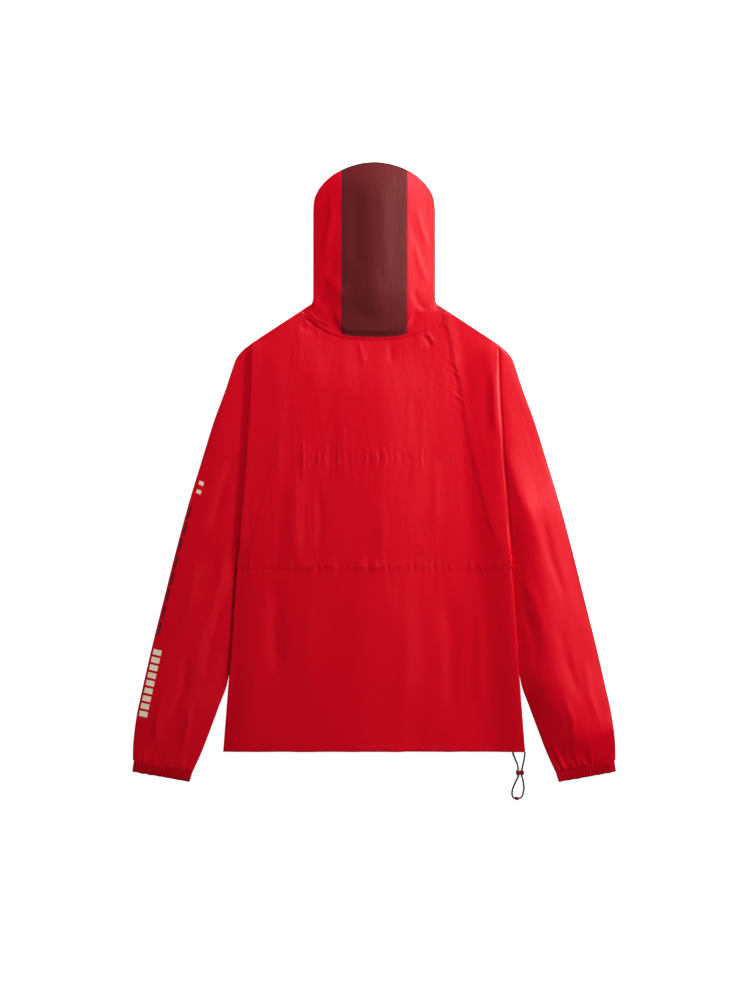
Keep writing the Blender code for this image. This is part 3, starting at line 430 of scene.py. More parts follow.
# ---- The garment's flat form -------------------------------------
@dataclass
class FlatForm:
    """Edges, seams and heights of the laid-out garment, which every piece is made from."""

    hood_dome: float = 12.5
    hood_rise: float = 1.4
    hood_ridge: float = 0.23

    def __post_init__(self) -> None:
        """Work the curves out from the tables."""
        self.raglan_x = smooth(RAGLAN_SEAM)
        self.side_x = smooth(SIDE_EDGE)
        self.underarm_x = smooth(UNDERARM_EDGE)
        self.edge_lift = smooth(FRONT_LIFT)
        self.profile = smooth(BODY_PROFILE)
        self.crest = [smooth([(y, row[k]) for y, *row in FOLD_HEIGHT]) for k in range(2)]
        self.spread = [smooth([(y, row[k]) for y, *row in FOLD_SPREAD]) for k in range(3)]
        self.fold_fall = smooth(FOLD_FALL)
        self.ridge = [smooth([(y, row[k]) for y, *row in SLEEVE_RIDGE]) for k in range(3)]
        self.back_neck_y = smooth([(x, back) for x, back, _ in NECK_SEAM])
        self.front_neck_y = smooth([(x, front) for x, _, front in NECK_SEAM])

    def body_half_width(self, y: Array) -> Array:
        """Half width of the body: to the raglan seam above the armpit, to the side edge below it."""
        return np.where(y > WAIST_LINE, self.raglan_x(y), self.side_x(y))

    def sleeve_inner_x(self, y: Array) -> Array:
        """The sleeve's inner edge: the raglan seam, then the underarm edge."""
        return np.where(y > WAIST_LINE, self.raglan_x(y), self.underarm_x(y))

    def front_lift(self, x: Array, y: Array) -> Array:
        """Height of the front's underside, which lies on the sleeves along the body's side edges."""
        inside = self.body_half_width(y) - np.abs(x)
        lift = np.where(y < LIFT_START, self.edge_lift(y), 0.0) * np.where(x > 0, 1.0, PRESSED)
        return lift * ease((EDGE_RAMP - inside) / (EDGE_RAMP - EDGE_BAND))

    def layers(self, x: Array, y: Array) -> Array:
        """Thickness of front and back together, which the left side edge has pressed flat low down."""
        pressed = ease(1 - np.abs(self.side_x(y) - np.abs(x)) / 30.0) * ease((-115.0 - y) / 50.0)
        return TWO_LAYERS * (1 - np.where(x > 0, 0.0, 0.5) * pressed)

    def side_fold(self, x: Array, y: Array) -> Array:
        """Height that the two side folds add to the back."""
        inside = self.side_x(y) - np.abs(x)
        right = self.crest[0](y) * ease(1 - inside / self.spread[0](y)) ** self.spread[1](y)
        left = self.crest[1](y) * ease(1 - inside / self.spread[2](y))
        return np.maximum(np.where(x > 0, right, left), self.front_lift(x, y))

    def back_base(self, x: Array, y: Array) -> Array:
        """Height of the back without its creases: a low ridge down the middle between the two side folds.

        Args:
            x, y: the places.

        Returns:
            The height over the surface that the garment lies on.
        """
        neck = ease((self.back_neck_y(np.abs(x)) - y) / 110.0)
        hem = 0.9 + 0.1 * ease((y - HEM_LINE) / 160.0)
        share = x / self.side_x(y)
        share = share + 0.2 * np.clip((-130.0 - y) / 340.0, 0, 1) * (1 - share**2)
        return self.layers(x, y) + self.side_fold(x, y) + self.profile(share) * neck * hem

    def back_relief(self, x: Array, y: Array) -> Array:
        """Creases, puckers and seams of the back and of the sleeves' tops beside it.

        Args:
            x, y: the places.

        Returns:
            The height to add.
        """
        relief = creased(0.0, x, y, BODY_CREASES)
        in_body = ease((self.body_half_width(y) + 4 - np.abs(x)) / 4)
        yoke = Puckers(pitch=5.0, height=0.6, reach_in=12.0, reach_out=18.0, slant=0.0, seed=11)
        waist = Puckers(pitch=6.0, height=0.95, reach_in=5.0, reach_out=9.0, slant=0.0, seed=21)
        neck = Puckers(pitch=9.0, height=0.4, reach_in=14.0, reach_out=8.0, slant=0.3, seed=41)
        relief = relief + yoke.relief(x, y - YOKE_LINE) * in_body + waist.relief(x, y - WAIST_LINE) * in_body
        relief = relief + 0.17 * self.lap(y - WAIST_LINE, -3.2, -1.0, 14.0) * in_body
        relief = relief + self.raglan_relief(x, y)
        relief = relief + neck.relief(x, y - self.back_neck_y(np.abs(x)))
        upper = ease((y - WAIST_LINE) / 20.0) * in_body
        return relief + self.crumple(x, y) + 0.055 * upper * grain_noise(x / 3.6 + 11, y / 13.0 + 11, 54)

    def raglan_relief(self, x: Array, y: Array) -> Array:
        """The raglan seam's groove, its double-stitched ridge and the puckers beside it.

        Args:
            x, y: the places.

        Returns:
            The height to add.
        """
        away = np.abs(x) - self.raglan_x(y)
        fade = ease((y + 158.0) / 70.0)
        gathers = Puckers(pitch=8.0, height=0.52, reach_in=12.0, reach_out=4.0, slant=0.9, seed=31)
        right = gathers.relief(y, away) * (0.45 + 0.55 * ease((y - 20.0) / 80.0))
        laps = 0.32 * self.lap(away, -3.4, -1.6, 18.0) + 0.28 * self.lap(away, 0.4, 2.1, 22.0)
        right = right + laps * (0.5 + 0.5 * ease((y + 40.0) / 180.0))
        gathers = Puckers(pitch=8.5, height=0.3, reach_in=8.0, reach_out=5.0, slant=0.9, seed=36)
        left = gathers.relief(y, away) + SeamLine(depth=0.05, ridge=0.03, ridge_width=6.5).relief(away)
        return np.where(x > 0, right, left) * fade

    @staticmethod
    def lap(away: Array, start: float, top: float, end: float) -> Array:
        """A stitched fold beside a seam: up from its start to its top and down again to its end."""
        return ease((away - start) / (top - start)) * ease((end - away) / (end - top))

    @staticmethod
    def crumple(x: Array, y: Array) -> Array:
        """The cloth's own crinkle, drawn out along its grain."""
        broad = grain_noise(x / 26.0 + 40, y / 90.0 + 40, 51) * 0.22
        middle = grain_noise(x / 9.0 + 40, y / 42.0 + 40, 52) * 0.08
        fine = grain_noise(x / 4.2 + 80, y / 17.0 + 80, 53) * 0.035
        return broad + middle + fine

    def crest_share(self, inner: Array, outer: Array) -> Array:
        """Share of the way from the inner to the outer edge at which each section meets the side fold.

        Args:
            inner: places of the sections on the inner edge.
            outer: the same on the outer edge.

        Returns:
            One share for each section.
        """
        low, high = np.zeros(len(inner)), np.ones(len(inner))
        for _ in range(30):
            share = (low + high) / 2
            place = inner + (outer - inner) * share[:, None]
            inside = (place[:, 0] < self.side_x(place[:, 1])) | (place[:, 1] > SIDE_EDGE[0][0])
            low, high = np.where(inside, share, low), np.where(inside, high, share)
        return share

    def hood_base(self, x: Array, y: Array) -> Array:
        """Height of the hood's upper side: a dome that has come down at the outline and at the neck.

        Args:
            x, y: the places.

        Returns:
            The height without creases.
        """
        over = (np.clip(y - HOOD_CROWN_Y, 0, None) / HOOD_CROWN_HEIGHT) ** 2.0
        from_middle = np.minimum(np.sqrt((np.abs(x) / HOOD_HALF) ** HOOD_CROWN_POWER + over**2), 1.0)
        top = math.hypot(1, self.hood_ridge)
        dome = (top - np.hypot(from_middle, self.hood_ridge)) / (top - self.hood_ridge)
        above_neck = y - self.back_neck_y(np.abs(x))
        rise = self.hood_rise * (1 - ease((above_neck - 14.0) / 80.0)) * ease(np.abs(x) / 80.0)
        rise = rise * ease((128.0 - np.abs(x)) / 30.0)
        air = self.hood_dome * dome * (0.25 + 0.75 * ease(above_neck / 90.0)) + rise
        return TWO_LAYERS + air * ease(above_neck / (12.0 + 30.0 * ease((np.abs(x) - 52.0) / 24.0)))


# ---- Shells ------------------------------------------------------
@dataclass
class SkinGrid:
    """A grid of points on the outer side of the cloth, with the directions that lead into it.

    The hem's rows carry full painted shade all along, and the edge shade share says how much painted shade
    each row's folded edges get.
    """

    points: Array
    inward: Array
    uv: Array
    hem_rows: tuple[int, ...] = ()
    # how much of the painted edge shade each row gets
    edge_shade_share: Array | float = 1.0

    def on(self, side: Side) -> "SkinGrid":
        """This grid of the right half, on the wanted half of the garment."""
        if side is Side.RIGHT:
            return self
        return SkinGrid(self.points * MIRROR, self.inward * MIRROR, self.uv, self.hem_rows, self.edge_shade_share)

    def rim(self) -> Array:
        """How much painted shade each point gets, from 0 to 1: more where the cloth turns away from above,
        strongest along folded edges that face +X, and full on the hem's rows.

        Returns:
            One value for each point.
        """
        # Painted shade: the colour darkens where the cloth turns away from above, as round a folded edge.
        rim = np.sqrt(np.clip(1 - self.inward[..., 2] ** 2, 0, 1)) * 0.5
        for column in np.flatnonzero(rim.min(axis=0) > 0.485):
            away = np.linalg.norm(self.points[..., :2] - self.points[:, column, None, :2], axis=2)
            # Painted shade is stronger on folded edges that face +X than on those that face -X.
            facing_shade = 0.3 + 0.7 * ease(0.5 - 2.0 * self.inward[:, column, :1])
            rim = np.where(away < 4.0, facing_shade * np.exp(-((away / 1.7) ** 2)), rim)
        rim = rim * np.broadcast_to(self.edge_shade_share, len(rim))[:, None]
        rim[list(self.hem_rows)] = 1.0
        return rim


def shell_object(name: str, grid: SkinGrid, ring: bool = False, thickness: float = SHELL) -> Piece:
    """Make a closed cloth shell from a skin grid.

    Args:
        name: the piece's name.
        grid: rows of skin points.
        ring: whether each row's end joins its start.
        thickness: how thick the shell is, in millimetres.

    Returns:
        The new object, at the origin.
    """
    rows, cols = grid.points.shape[:2]
    outer = grid.points.reshape(-1, 3)
    inner = (grid.points + grid.inward * thickness).reshape(-1, 3)
    index = np.arange(rows * cols).reshape(rows, cols)
    if ring:
        index = np.hstack([index, index[:, :1]])
    corners = (index[:-1, :-1], index[:-1, 1:], index[1:, 1:], index[1:, :-1])
    count = rows * cols
    outside = np.stack([corner.ravel() for corner in corners], axis=1)
    faces = [outside, outside[:, ::-1] + count]
    rims = [index[0], index[-1][::-1]]
    if not ring:
        rims += [index[:, 0][::-1], index[:, -1]]
    for rim in rims:
        faces.append(np.stack([rim[1:], rim[:-1], rim[:-1] + count, rim[1:] + count], axis=1))
    quads = np.vstack(faces)
    mesh = bpy.data.meshes.new(name)
    mesh.from_pydata((np.vstack([outer, inner]) * MM).tolist(), [], quads.tolist())
    uv = np.vstack([grid.uv.reshape(-1, 2)] * 2) * MM
    layer = mesh.uv_layers.new(name="UVMap")
    layer.data.foreach_set("uv", uv[quads.ravel()].astype(np.float32).ravel())
    # Each point's share of painted shade, which the cloth's material reads as the attribute rim.
    mesh.attributes.new("rim", "FLOAT", "POINT").data.foreach_set(
        "value", np.tile(grid.rim().ravel(), 2).astype(np.float32))
    mesh.update()
    if _signed_volume(np.vstack([outer, inner]), quads) < 0:
        mesh.flip_normals()
    return placed(mesh)


def placed(mesh: bpy.types.Mesh, crisp: bool = True) -> Piece:
    """Put a mesh into the scene as a smooth object at the origin, under its own name.

    Args:
        mesh: the finished mesh.
        crisp: whether its edges of more than 50 degrees stay sharp.

    Returns:
        The object.
    """
    mesh.shade_smooth()
    if crisp:
        mesh.set_sharp_from_angle(angle=math.radians(50))
    piece = bpy.data.objects.new(mesh.name, mesh)
    bpy.context.scene.collection.objects.link(piece)
    return piece


def _signed_volume(points: Array, quads: Array) -> float:
    """Volume inside closed quads, negative where their faces point inwards."""
    a, b, c, d = (points[quads[:, k]] for k in range(4))
    return float((np.cross(a, b) * c).sum() + (np.cross(a, c) * d).sum()) / 6


def level_normals(points: Array, inside: Array) -> Array:
    """Level unit vectors square to a line of points, away from the matching points inside.

    Args:
        points: the line.
        inside: one point inside for each of its own.

    Returns:
        The vectors, x and y.
    """
    along = np.gradient(points[:, :2], axis=0)
    normal = np.stack([along[:, 1], -along[:, 0]], axis=1)
    normal /= np.linalg.norm(normal, axis=1)[:, None]
    outward = ((points - inside)[:, :2] * normal).sum(axis=1)
    return normal * np.where(outward < 0, -1, 1)[:, None]


def fold_columns(edge: Array, outward: Array, low: Array, high: Array, steps: int) -> Columns:
    """Skin columns round a half round fold from its top to its bottom, without the two level ends.

    Args:
        edge: x and y of the fold's outer edge, one row for each section.
        outward: level unit vectors that point out of the fold.
        low: height of the fold's bottom at each section.
        high: height of its top.
        steps: number of facets round the fold.

    Returns:
        The points and the inward directions, each (sections, steps - 1, 3).
    """
    angles = np.radians(90 - 180 * np.arange(1, steps) / steps)
    cos, sin = np.cos(angles)[None, :], np.sin(angles)[None, :]
    edge, outward = edge[:, :2], outward[:, :2]
    middle, radius = ((low + high) / 2)[:, None], ((high - low) / 2)[:, None]
    plan = edge[:, None, :] + outward[:, None, :] * ((cos - 1) * FOLD_RADIUS)[..., None]
    points = np.concatenate([plan, (middle + radius * sin)[..., None]], axis=2)
    level = outward[:, None, :] * cos[..., None]
    turn = np.concatenate([level, np.broadcast_to(sin, plan.shape[:2])[..., None]], axis=2)
    return points, -turn


def level_columns(x: Array, y: Array, z: Array, upper: bool) -> Columns:
    """Skin columns of a wall that lies level, seen from above or from below."""
    points = np.stack([x, y, z], axis=-1)
    inward = np.zeros_like(points)
    inward[..., 2] = -1.0 if upper else 1.0
    return points, inward


def joined(*parts: Columns) -> Columns:
    """Put groups of skin columns side by side."""
    return np.concatenate([p[0] for p in parts], axis=1), np.concatenate([p[1] for p in parts], axis=1)


# ---- Finishes ----------------------------------------------------
class Board:
    """A node tree, with short calls to add nodes and to join them."""

    def __init__(self, tree: NodeTree) -> None:
        """Keep the tree."""
        self.tree = tree

    def add(self, kind: str, values: dict[str, object] | None = None, **settings: object) -> Node:
        """Add a node.

        Args:
            kind: the node's type.
            values: default values, or sockets to join, by the name of the node's input.
            settings: the node's own properties.

        Returns:
            The new node.
        """
        node = self.tree.nodes.new(kind)
        for name, value in settings.items():
            setattr(node, name, value)
        for name, value in (values or {}).items():
            self.feed(node.inputs[name], value)
        return node

    def feed(self, target: Socket, value: object) -> None:
        """Join a socket to this input, or set the input's own value."""
        if isinstance(value, Socket):
            self.tree.links.new(value, target)
        else:
            target.default_value = value

    def math(self, operation: str, first: object, second: object = 0.0, clamp: bool = False) -> Socket:
        """Join two values by a sum and give its result."""
        node = self.add("ShaderNodeMath", operation=operation, use_clamp=clamp)
        self.feed(node.inputs[0], first)
        self.feed(node.inputs[1], second)
        return node.outputs[0]

    def stretch(self, vector: Socket, across: float, along: float) -> Socket:
        """Scale a place across and along the grain."""
        node = self.add("ShaderNodeVectorMath", operation="MULTIPLY")
        self.feed(node.inputs[0], vector)
        self.feed(node.inputs[1], (across, along, 1.0))
        return node.outputs[0]

    def noise(self, vector: Socket, detail: float = 2.0) -> Socket:
        """Soft noise at a place that is already scaled."""
        return self.add("ShaderNodeTexNoise", {"Vector": vector, "Scale": 1.0, "Detail": detail}).outputs[0]

    def mix(self, share: object, first: object, second: object) -> Socket:
        """Mix two colours."""
        node = self.add("ShaderNodeMix", data_type="RGBA")
        for index, value in ((0, share), (6, first), (7, second)):
            self.feed(node.inputs[index], value)
        return node.outputs[2]

    def bump(self, shader: Node, height: Socket, strength: float, distance: float) -> Socket:
        """Bend a shader's normal by a height that is worth this distance in metres."""
        node = self.add("ShaderNodeBump", {"Height": height, "Strength": strength, "Distance": distance})
        self.feed(shader.inputs["Normal"], node.outputs[0])
        return node.outputs[0]


def effect_group(name: str, inputs: dict[str, float], outputs: Sequence[str],
                 fill: Callable[[Board, Node, Node], None]) -> NodeTree:
    """Find or build a node group that works on a place.

    Args:
        name: the group's name.
        inputs: name and default of each value that it takes beside the place.
        outputs: names of the values that it puts out.
        fill: what joins the group's nodes between its input and its output node.

    Returns:
        The group.
    """
    tree = bpy.data.node_groups.get(name)
    if tree:
        return tree
    tree = bpy.data.node_groups.new(name, "ShaderNodeTree")
    tree.interface.new_socket(name="Vector", in_out="INPUT", socket_type="NodeSocketVector")
    for label, value in inputs.items():
        socket = tree.interface.new_socket(name=label, in_out="INPUT", socket_type="NodeSocketFloat")
        socket.default_value = value
    for label in outputs:
        tree.interface.new_socket(name=label, in_out="OUTPUT", socket_type="NodeSocketFloat")
    board = Board(tree)
    fill(board, board.add("NodeGroupInput"), board.add("NodeGroupOutput"))
    return tree


def join_crinkle(board: Board, start: Node, end: Node) -> None:
    """The washed crinkle and the fine weave of light nylon, on a place across and along the grain.

    Args:
        board: the group's board.
        start, end: its input and its output node.
    """
    place = start.outputs["Vector"]
    broad = board.noise(board.stretch(place, 95.0, 26.0), 3.0)
    streak = board.noise(board.stretch(place, 330.0, 75.0), 3.0)
    lines = board.noise(board.stretch(place, 190.0, 48.0), 4.0)
    lines = board.math("ABSOLUTE", board.math("SUBTRACT", lines, 0.5))
    threads = board.add("ShaderNodeSeparateXYZ", {"Vector": board.stretch(place, 7800.0, 7800.0)})
    warp = board.math("SINE", threads.outputs[0])
    weft = board.math("SINE", threads.outputs[1])
    weave = board.math("MULTIPLY", board.math("MULTIPLY", warp, weft), start.outputs["Weave"])
    height = board.math("ADD", board.math("MULTIPLY", broad, 0.45), board.math("MULTIPLY", streak, 0.35))
    height = board.math("ADD", height, board.math("MULTIPLY", lines, 0.9))
    board.feed(end.inputs["Height"], board.math("ADD", height, weave))
    board.feed(end.inputs["Shade"], board.math("MULTIPLY", board.math("SUBTRACT", streak, 0.3), 2.0, True))
    board.feed(end.inputs["Grain"], board.math("MULTIPLY", board.math("SUBTRACT", broad, 0.25), 2.0, True))


def join_bars(board: Board, start: Node, end: Node) -> None:
    """A row of plain printed bars between two lines, as a mask on a place in metres.

    Args:
        board: the group's board.
        start, end: its input and its output node.
    """
    place = board.add("ShaderNodeSeparateXYZ", {"Vector": start.outputs["Vector"]})
    across, along = place.outputs[0], place.outputs[1]
    inside = board.math("MULTIPLY", board.math("GREATER_THAN", across, start.outputs["Left"]),
                        board.math("LESS_THAN", across, start.outputs["Right"]))
    within = board.math("MULTIPLY", board.math("GREATER_THAN", along, start.outputs["Start"]),
                        board.math("LESS_THAN", along, start.outputs["End"]))
    run = board.math("DIVIDE", board.math("SUBTRACT", along, start.outputs["Start"]), start.outputs["Pitch"])
    bar = board.math("LESS_THAN", board.math("FRACT", run), start.outputs["Share"])
    board.feed(end.inputs["Mask"], board.math("MULTIPLY", board.math("MULTIPLY", inside, within), bar))


def join_speckle(board: Board, start: Node, end: Node) -> None:
    """Fine unevenness of moulded and spun pieces, on a place in metres."""
    values = {"Vector": start.outputs["Vector"], "Scale": start.outputs["Scale"], "Detail": 4.0}
    grain = board.add("ShaderNodeTexNoise", values).outputs[0]
    board.feed(end.inputs["Height"], grain)
    board.feed(end.inputs["Shade"], board.math("MULTIPLY", board.math("SUBTRACT", grain, 0.25), 2.0, True))


def start_material(name: str) -> tuple[Material, Board, Node]:
    """Start a node material.

    Args:
        name: the material's name.

    Returns:
        The material, its board and its Principled shader.
    """
    material = bpy.data.materials.new(name)
    material.use_nodes = True
    return material, Board(material.node_tree), material.node_tree.nodes["Principled BSDF"]


@dataclass(frozen=True)
class Finish:
    """A material, the name of the slot that it stands for, which nothing here reads, and its two colours."""

    name: str
    slot: str
    colour: Colour
    second: Colour

    def material(self) -> Material:
        """Build the material, or give the one already built.

        Returns:
            The material.
        """
        known = bpy.data.materials.get(self.name)
        if known:
            return known
        material, board, shader = start_material(self.name)
        self.join(board, shader)
        return material

    def join(self, board: Board, shader: Node) -> None:
        """Join the finish's own nodes to the material's Principled shader."""
        raise NotImplementedError

    def blend(self, board: Board, share: object) -> Socket:
        """The first colour, mixed with this share of the second."""
        return board.mix(share, (*self.colour, 1.0), (*self.second, 1.0))


@dataclass(frozen=True)
class PrintedBars:
    """A row of plain bars printed on the cloth, in millimetres from the sleeve's outer edge and along it."""

    colour: Colour
    left: float
    right: float
    start: float
    end: float
    pitch: float
    share: float


@dataclass(frozen=True)
class NylonFinish(Finish):
    """Light crinkled nylon: its crinkle, its low sheen, painted shade on its folded edges and hems, and what
    is printed on it.
    """

    roughness: float = 0.5
    gleam: float = 0.012
    gleam_roughness: float = 0.5
    crinkle: float = 0.00018
    shift: float = 0.0
    bars: tuple[PrintedBars, ...] = ()

    def join(self, board: Board, shader: Node) -> None:
        """Join crinkle, painted shade on folded edges and hems, bars and a sheen that fades where the cloth
        is seen aslant.

        Args:
            board: the material's board.
            shader: its Principled shader.
        """
        uv = board.add("ShaderNodeTexCoord").outputs["UV"]
        moved = (self.shift, self.shift * 1.7, 0.0)
        place = board.add("ShaderNodeMapping", {"Vector": uv, "Location": moved})
        group = effect_group("crinkled nylon", {"Weave": 0.06}, ("Height", "Shade", "Grain"), join_crinkle)
        cloth = board.add("ShaderNodeGroup", {"Vector": place.outputs[0]}, node_tree=group)
        colour = self.blend(board, board.math("MULTIPLY", cloth.outputs["Shade"], 0.14))
        # Painted shade: the rim attribute darkens folded edges and hems towards a very dark copy of the
        # second colour.
        rim = board.add("ShaderNodeAttribute", attribute_name="rim").outputs["Fac"]
        edge = (*[0.15 * part for part in self.second], 1.0)
        colour = board.mix(board.math("MULTIPLY", rim, 0.93), colour, edge)
        for bar in self.bars:
            colour = board.mix(self._mask(board, uv, bar), colour, (*bar.colour, 1.0))
        board.feed(shader.inputs["Base Color"], colour)
        rough = board.math("ADD", board.math("MULTIPLY", cloth.outputs["Grain"], 0.12), self.roughness - 0.06)
        board.feed(shader.inputs["Roughness"], rough)
        bump = board.bump(shader, cloth.outputs["Height"], 1.0, self.crinkle)
        shader.inputs["Specular IOR Level"].default_value = 0.0
        facing = board.math("SUBTRACT", 1.0, board.add("ShaderNodeLayerWeight").outputs["Facing"])
        share = board.math("MULTIPLY", board.math("SUBTRACT", 1.0, rim), self.gleam)
        share = board.math("MULTIPLY", share, board.math("POWER", facing, 3.0))
        gleam = board.add("ShaderNodeBsdfAnisotropic", {"Roughness": self.gleam_roughness, "Normal": bump},
                          distribution="BECKMANN")
        blend = board.add("ShaderNodeMixShader")
        for index, value in enumerate((share, shader.outputs[0], gleam.outputs[0])):
            board.feed(blend.inputs[index], value)
        board.feed(board.tree.nodes["Material Output"].inputs["Surface"], blend.outputs[0])

    @staticmethod
    def _mask(board: Board, uv: Socket, bar: PrintedBars) -> Socket:
        """Mask of one row of bars."""
        limits = {"Left": bar.left * MM, "Right": bar.right * MM, "Start": bar.start * MM,
                  "End": bar.end * MM, "Pitch": bar.pitch * MM, "Share": bar.share}
        group = effect_group("printed bars", limits, ("Mask",), join_bars)
        return board.add("ShaderNodeGroup", {"Vector": uv, **limits}, node_tree=group).outputs["Mask"]


@dataclass(frozen=True)
class CordFinish(Finish):
    """Round elastic cord with a braided cover, with painted shade between the strands and a painted lighter
    tone on them.
    """

    strands: float = 9.0
    lay: float = 2.6

    def join(self, board: Board, shader: Node) -> None:
        """Join a braid of two sets of strands that cross round the cord.

        Args:
            board: the material's board.
            shader: its Principled shader.
        """
        place = board.add("ShaderNodeSeparateXYZ", {"Vector": board.add("ShaderNodeTexCoord").outputs["UV"]})
        around = board.math("MULTIPLY", place.outputs[0], 2 * math.pi * self.strands)
        along = board.math("MULTIPLY", place.outputs[1], 2 * math.pi / (self.lay * MM))
        one = board.math("SINE", board.math("ADD", around, along))
        other = board.math("SINE", board.math("SUBTRACT", around, along))
        braid = board.math("MULTIPLY", board.math("MAXIMUM", one, other), 0.5)
        # Painted shade and highlight: the colour follows the braid, black in its grooves and grey on its
        # strands.
        board.feed(shader.inputs["Base Color"], self.blend(board, board.math("ADD", braid, 0.5, True)))
        board.bump(shader, braid, 0.8, 0.0003)
        shader.inputs["Roughness"].default_value = 0.72
        shader.inputs["Specular IOR Level"].default_value = 0.05


@dataclass(frozen=True)
class SpeckledFinish(Finish):
    """Finely uneven moulded plastic or spun thread."""

    share: float                      # how much of the second colour shows at most
    scale: float
    roughness: float
    unevenness: float                 # how much the roughness varies
    bump: float
    gloss: float

    def join(self, board: Board, shader: Node) -> None:
        """Join the speckle to the shader.

        Args:
            board: the material's board.
            shader: its Principled shader.
        """
        group = effect_group("fine speckle", {"Scale": self.scale}, ("Height", "Shade"), join_speckle)
        place = board.add("ShaderNodeTexCoord").outputs["Object"]
        grain = board.add("ShaderNodeGroup", {"Vector": place, "Scale": self.scale}, node_tree=group)
        shade = grain.outputs["Shade"]
        board.feed(shader.inputs["Base Color"], self.blend(board, board.math("MULTIPLY", shade, self.share)))
        if self.unevenness:
            rough = board.math("ADD", board.math("MULTIPLY", shade, self.unevenness), self.roughness)
            board.feed(shader.inputs["Roughness"], rough)
        else:
            shader.inputs["Roughness"].default_value = self.roughness
        board.bump(shader, grain.outputs["Height"], self.bump, 0.0001)
        shader.inputs["Specular IOR Level"].default_value = self.gloss


# ---- Cloth pieces ------------------------------------------------
@dataclass(frozen=True)
class Cut:
    """The flat cut of what shows of a piece, in millimetres, and its share of that rectangle's area."""

    width: float
    length: float
    share: float
    rests_on: tuple[str, ...] = ()


def dress(piece: Piece, finish: Finish, *nodes: str, cut: Cut | None = None) -> Piece:
    """Give a piece its finish and put it in its solids' place.

    Args:
        piece: the finished shape.
        finish: the piece's finish.
        nodes: the solids that it stands for.
        cut: the flat cut, for a piece of cloth.

    Returns:
        The piece.
    """
    piece.data.materials.clear()
    piece.data.materials.append(finish.material())
    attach(piece, ROOT)
    if nodes:
        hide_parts(*nodes)
    if cut:
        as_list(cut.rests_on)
    LOG.info("%s: %d faces", piece.name, len(piece.data.polygons))
    return piece


def quarter_fold(half: Array, y: Array, low: Array, high: Array, upper: bool) -> Columns:
    """Columns that round the body's right edge off, down or up to the side seam at its middle.

    Args:
        half: half width of the body at each row.
        y: height of each row's end.
        low: height of the fold's bottom.
        high: height of its top.
        upper: whether this is the back's part of the fold or the front's.

    Returns:
        The points and the inward directions.
    """
    turn = np.radians(EDGE_ANGLES)[None, :] * (1 if upper else -1)
    cos, sin = np.cos(turn), np.sin(turn)
    middle, radius = ((low + high) / 2)[:, None], ((high - low) / 2)[:, None]
    x = (half - FOLD_RADIUS)[:, None] + FOLD_RADIUS * cos
    points = np.stack([x, np.broadcast_to(y[:, None], x.shape), middle + radius * sin], axis=2)
    inward = np.stack([np.broadcast_to(part, x.shape) for part in (-cos, 0.0, -sin)], axis=2)
    return points, inward


def flipped(columns: Columns) -> Columns:
    """The same columns on the other half, in the opposite order."""
    return (columns[0] * MIRROR)[:, ::-1], (columns[1] * MIRROR)[:, ::-1]


def plan_uv(points: Array) -> Array:
    """Grain coordinates of a piece that lies level, with its ends unrolled."""
    run, middle = run_along(points), points.shape[1] // 2
    run = run - run[:, middle][:, None] + points[:, middle, 0][:, None]
    return np.stack([run, points[..., 1]], axis=2)


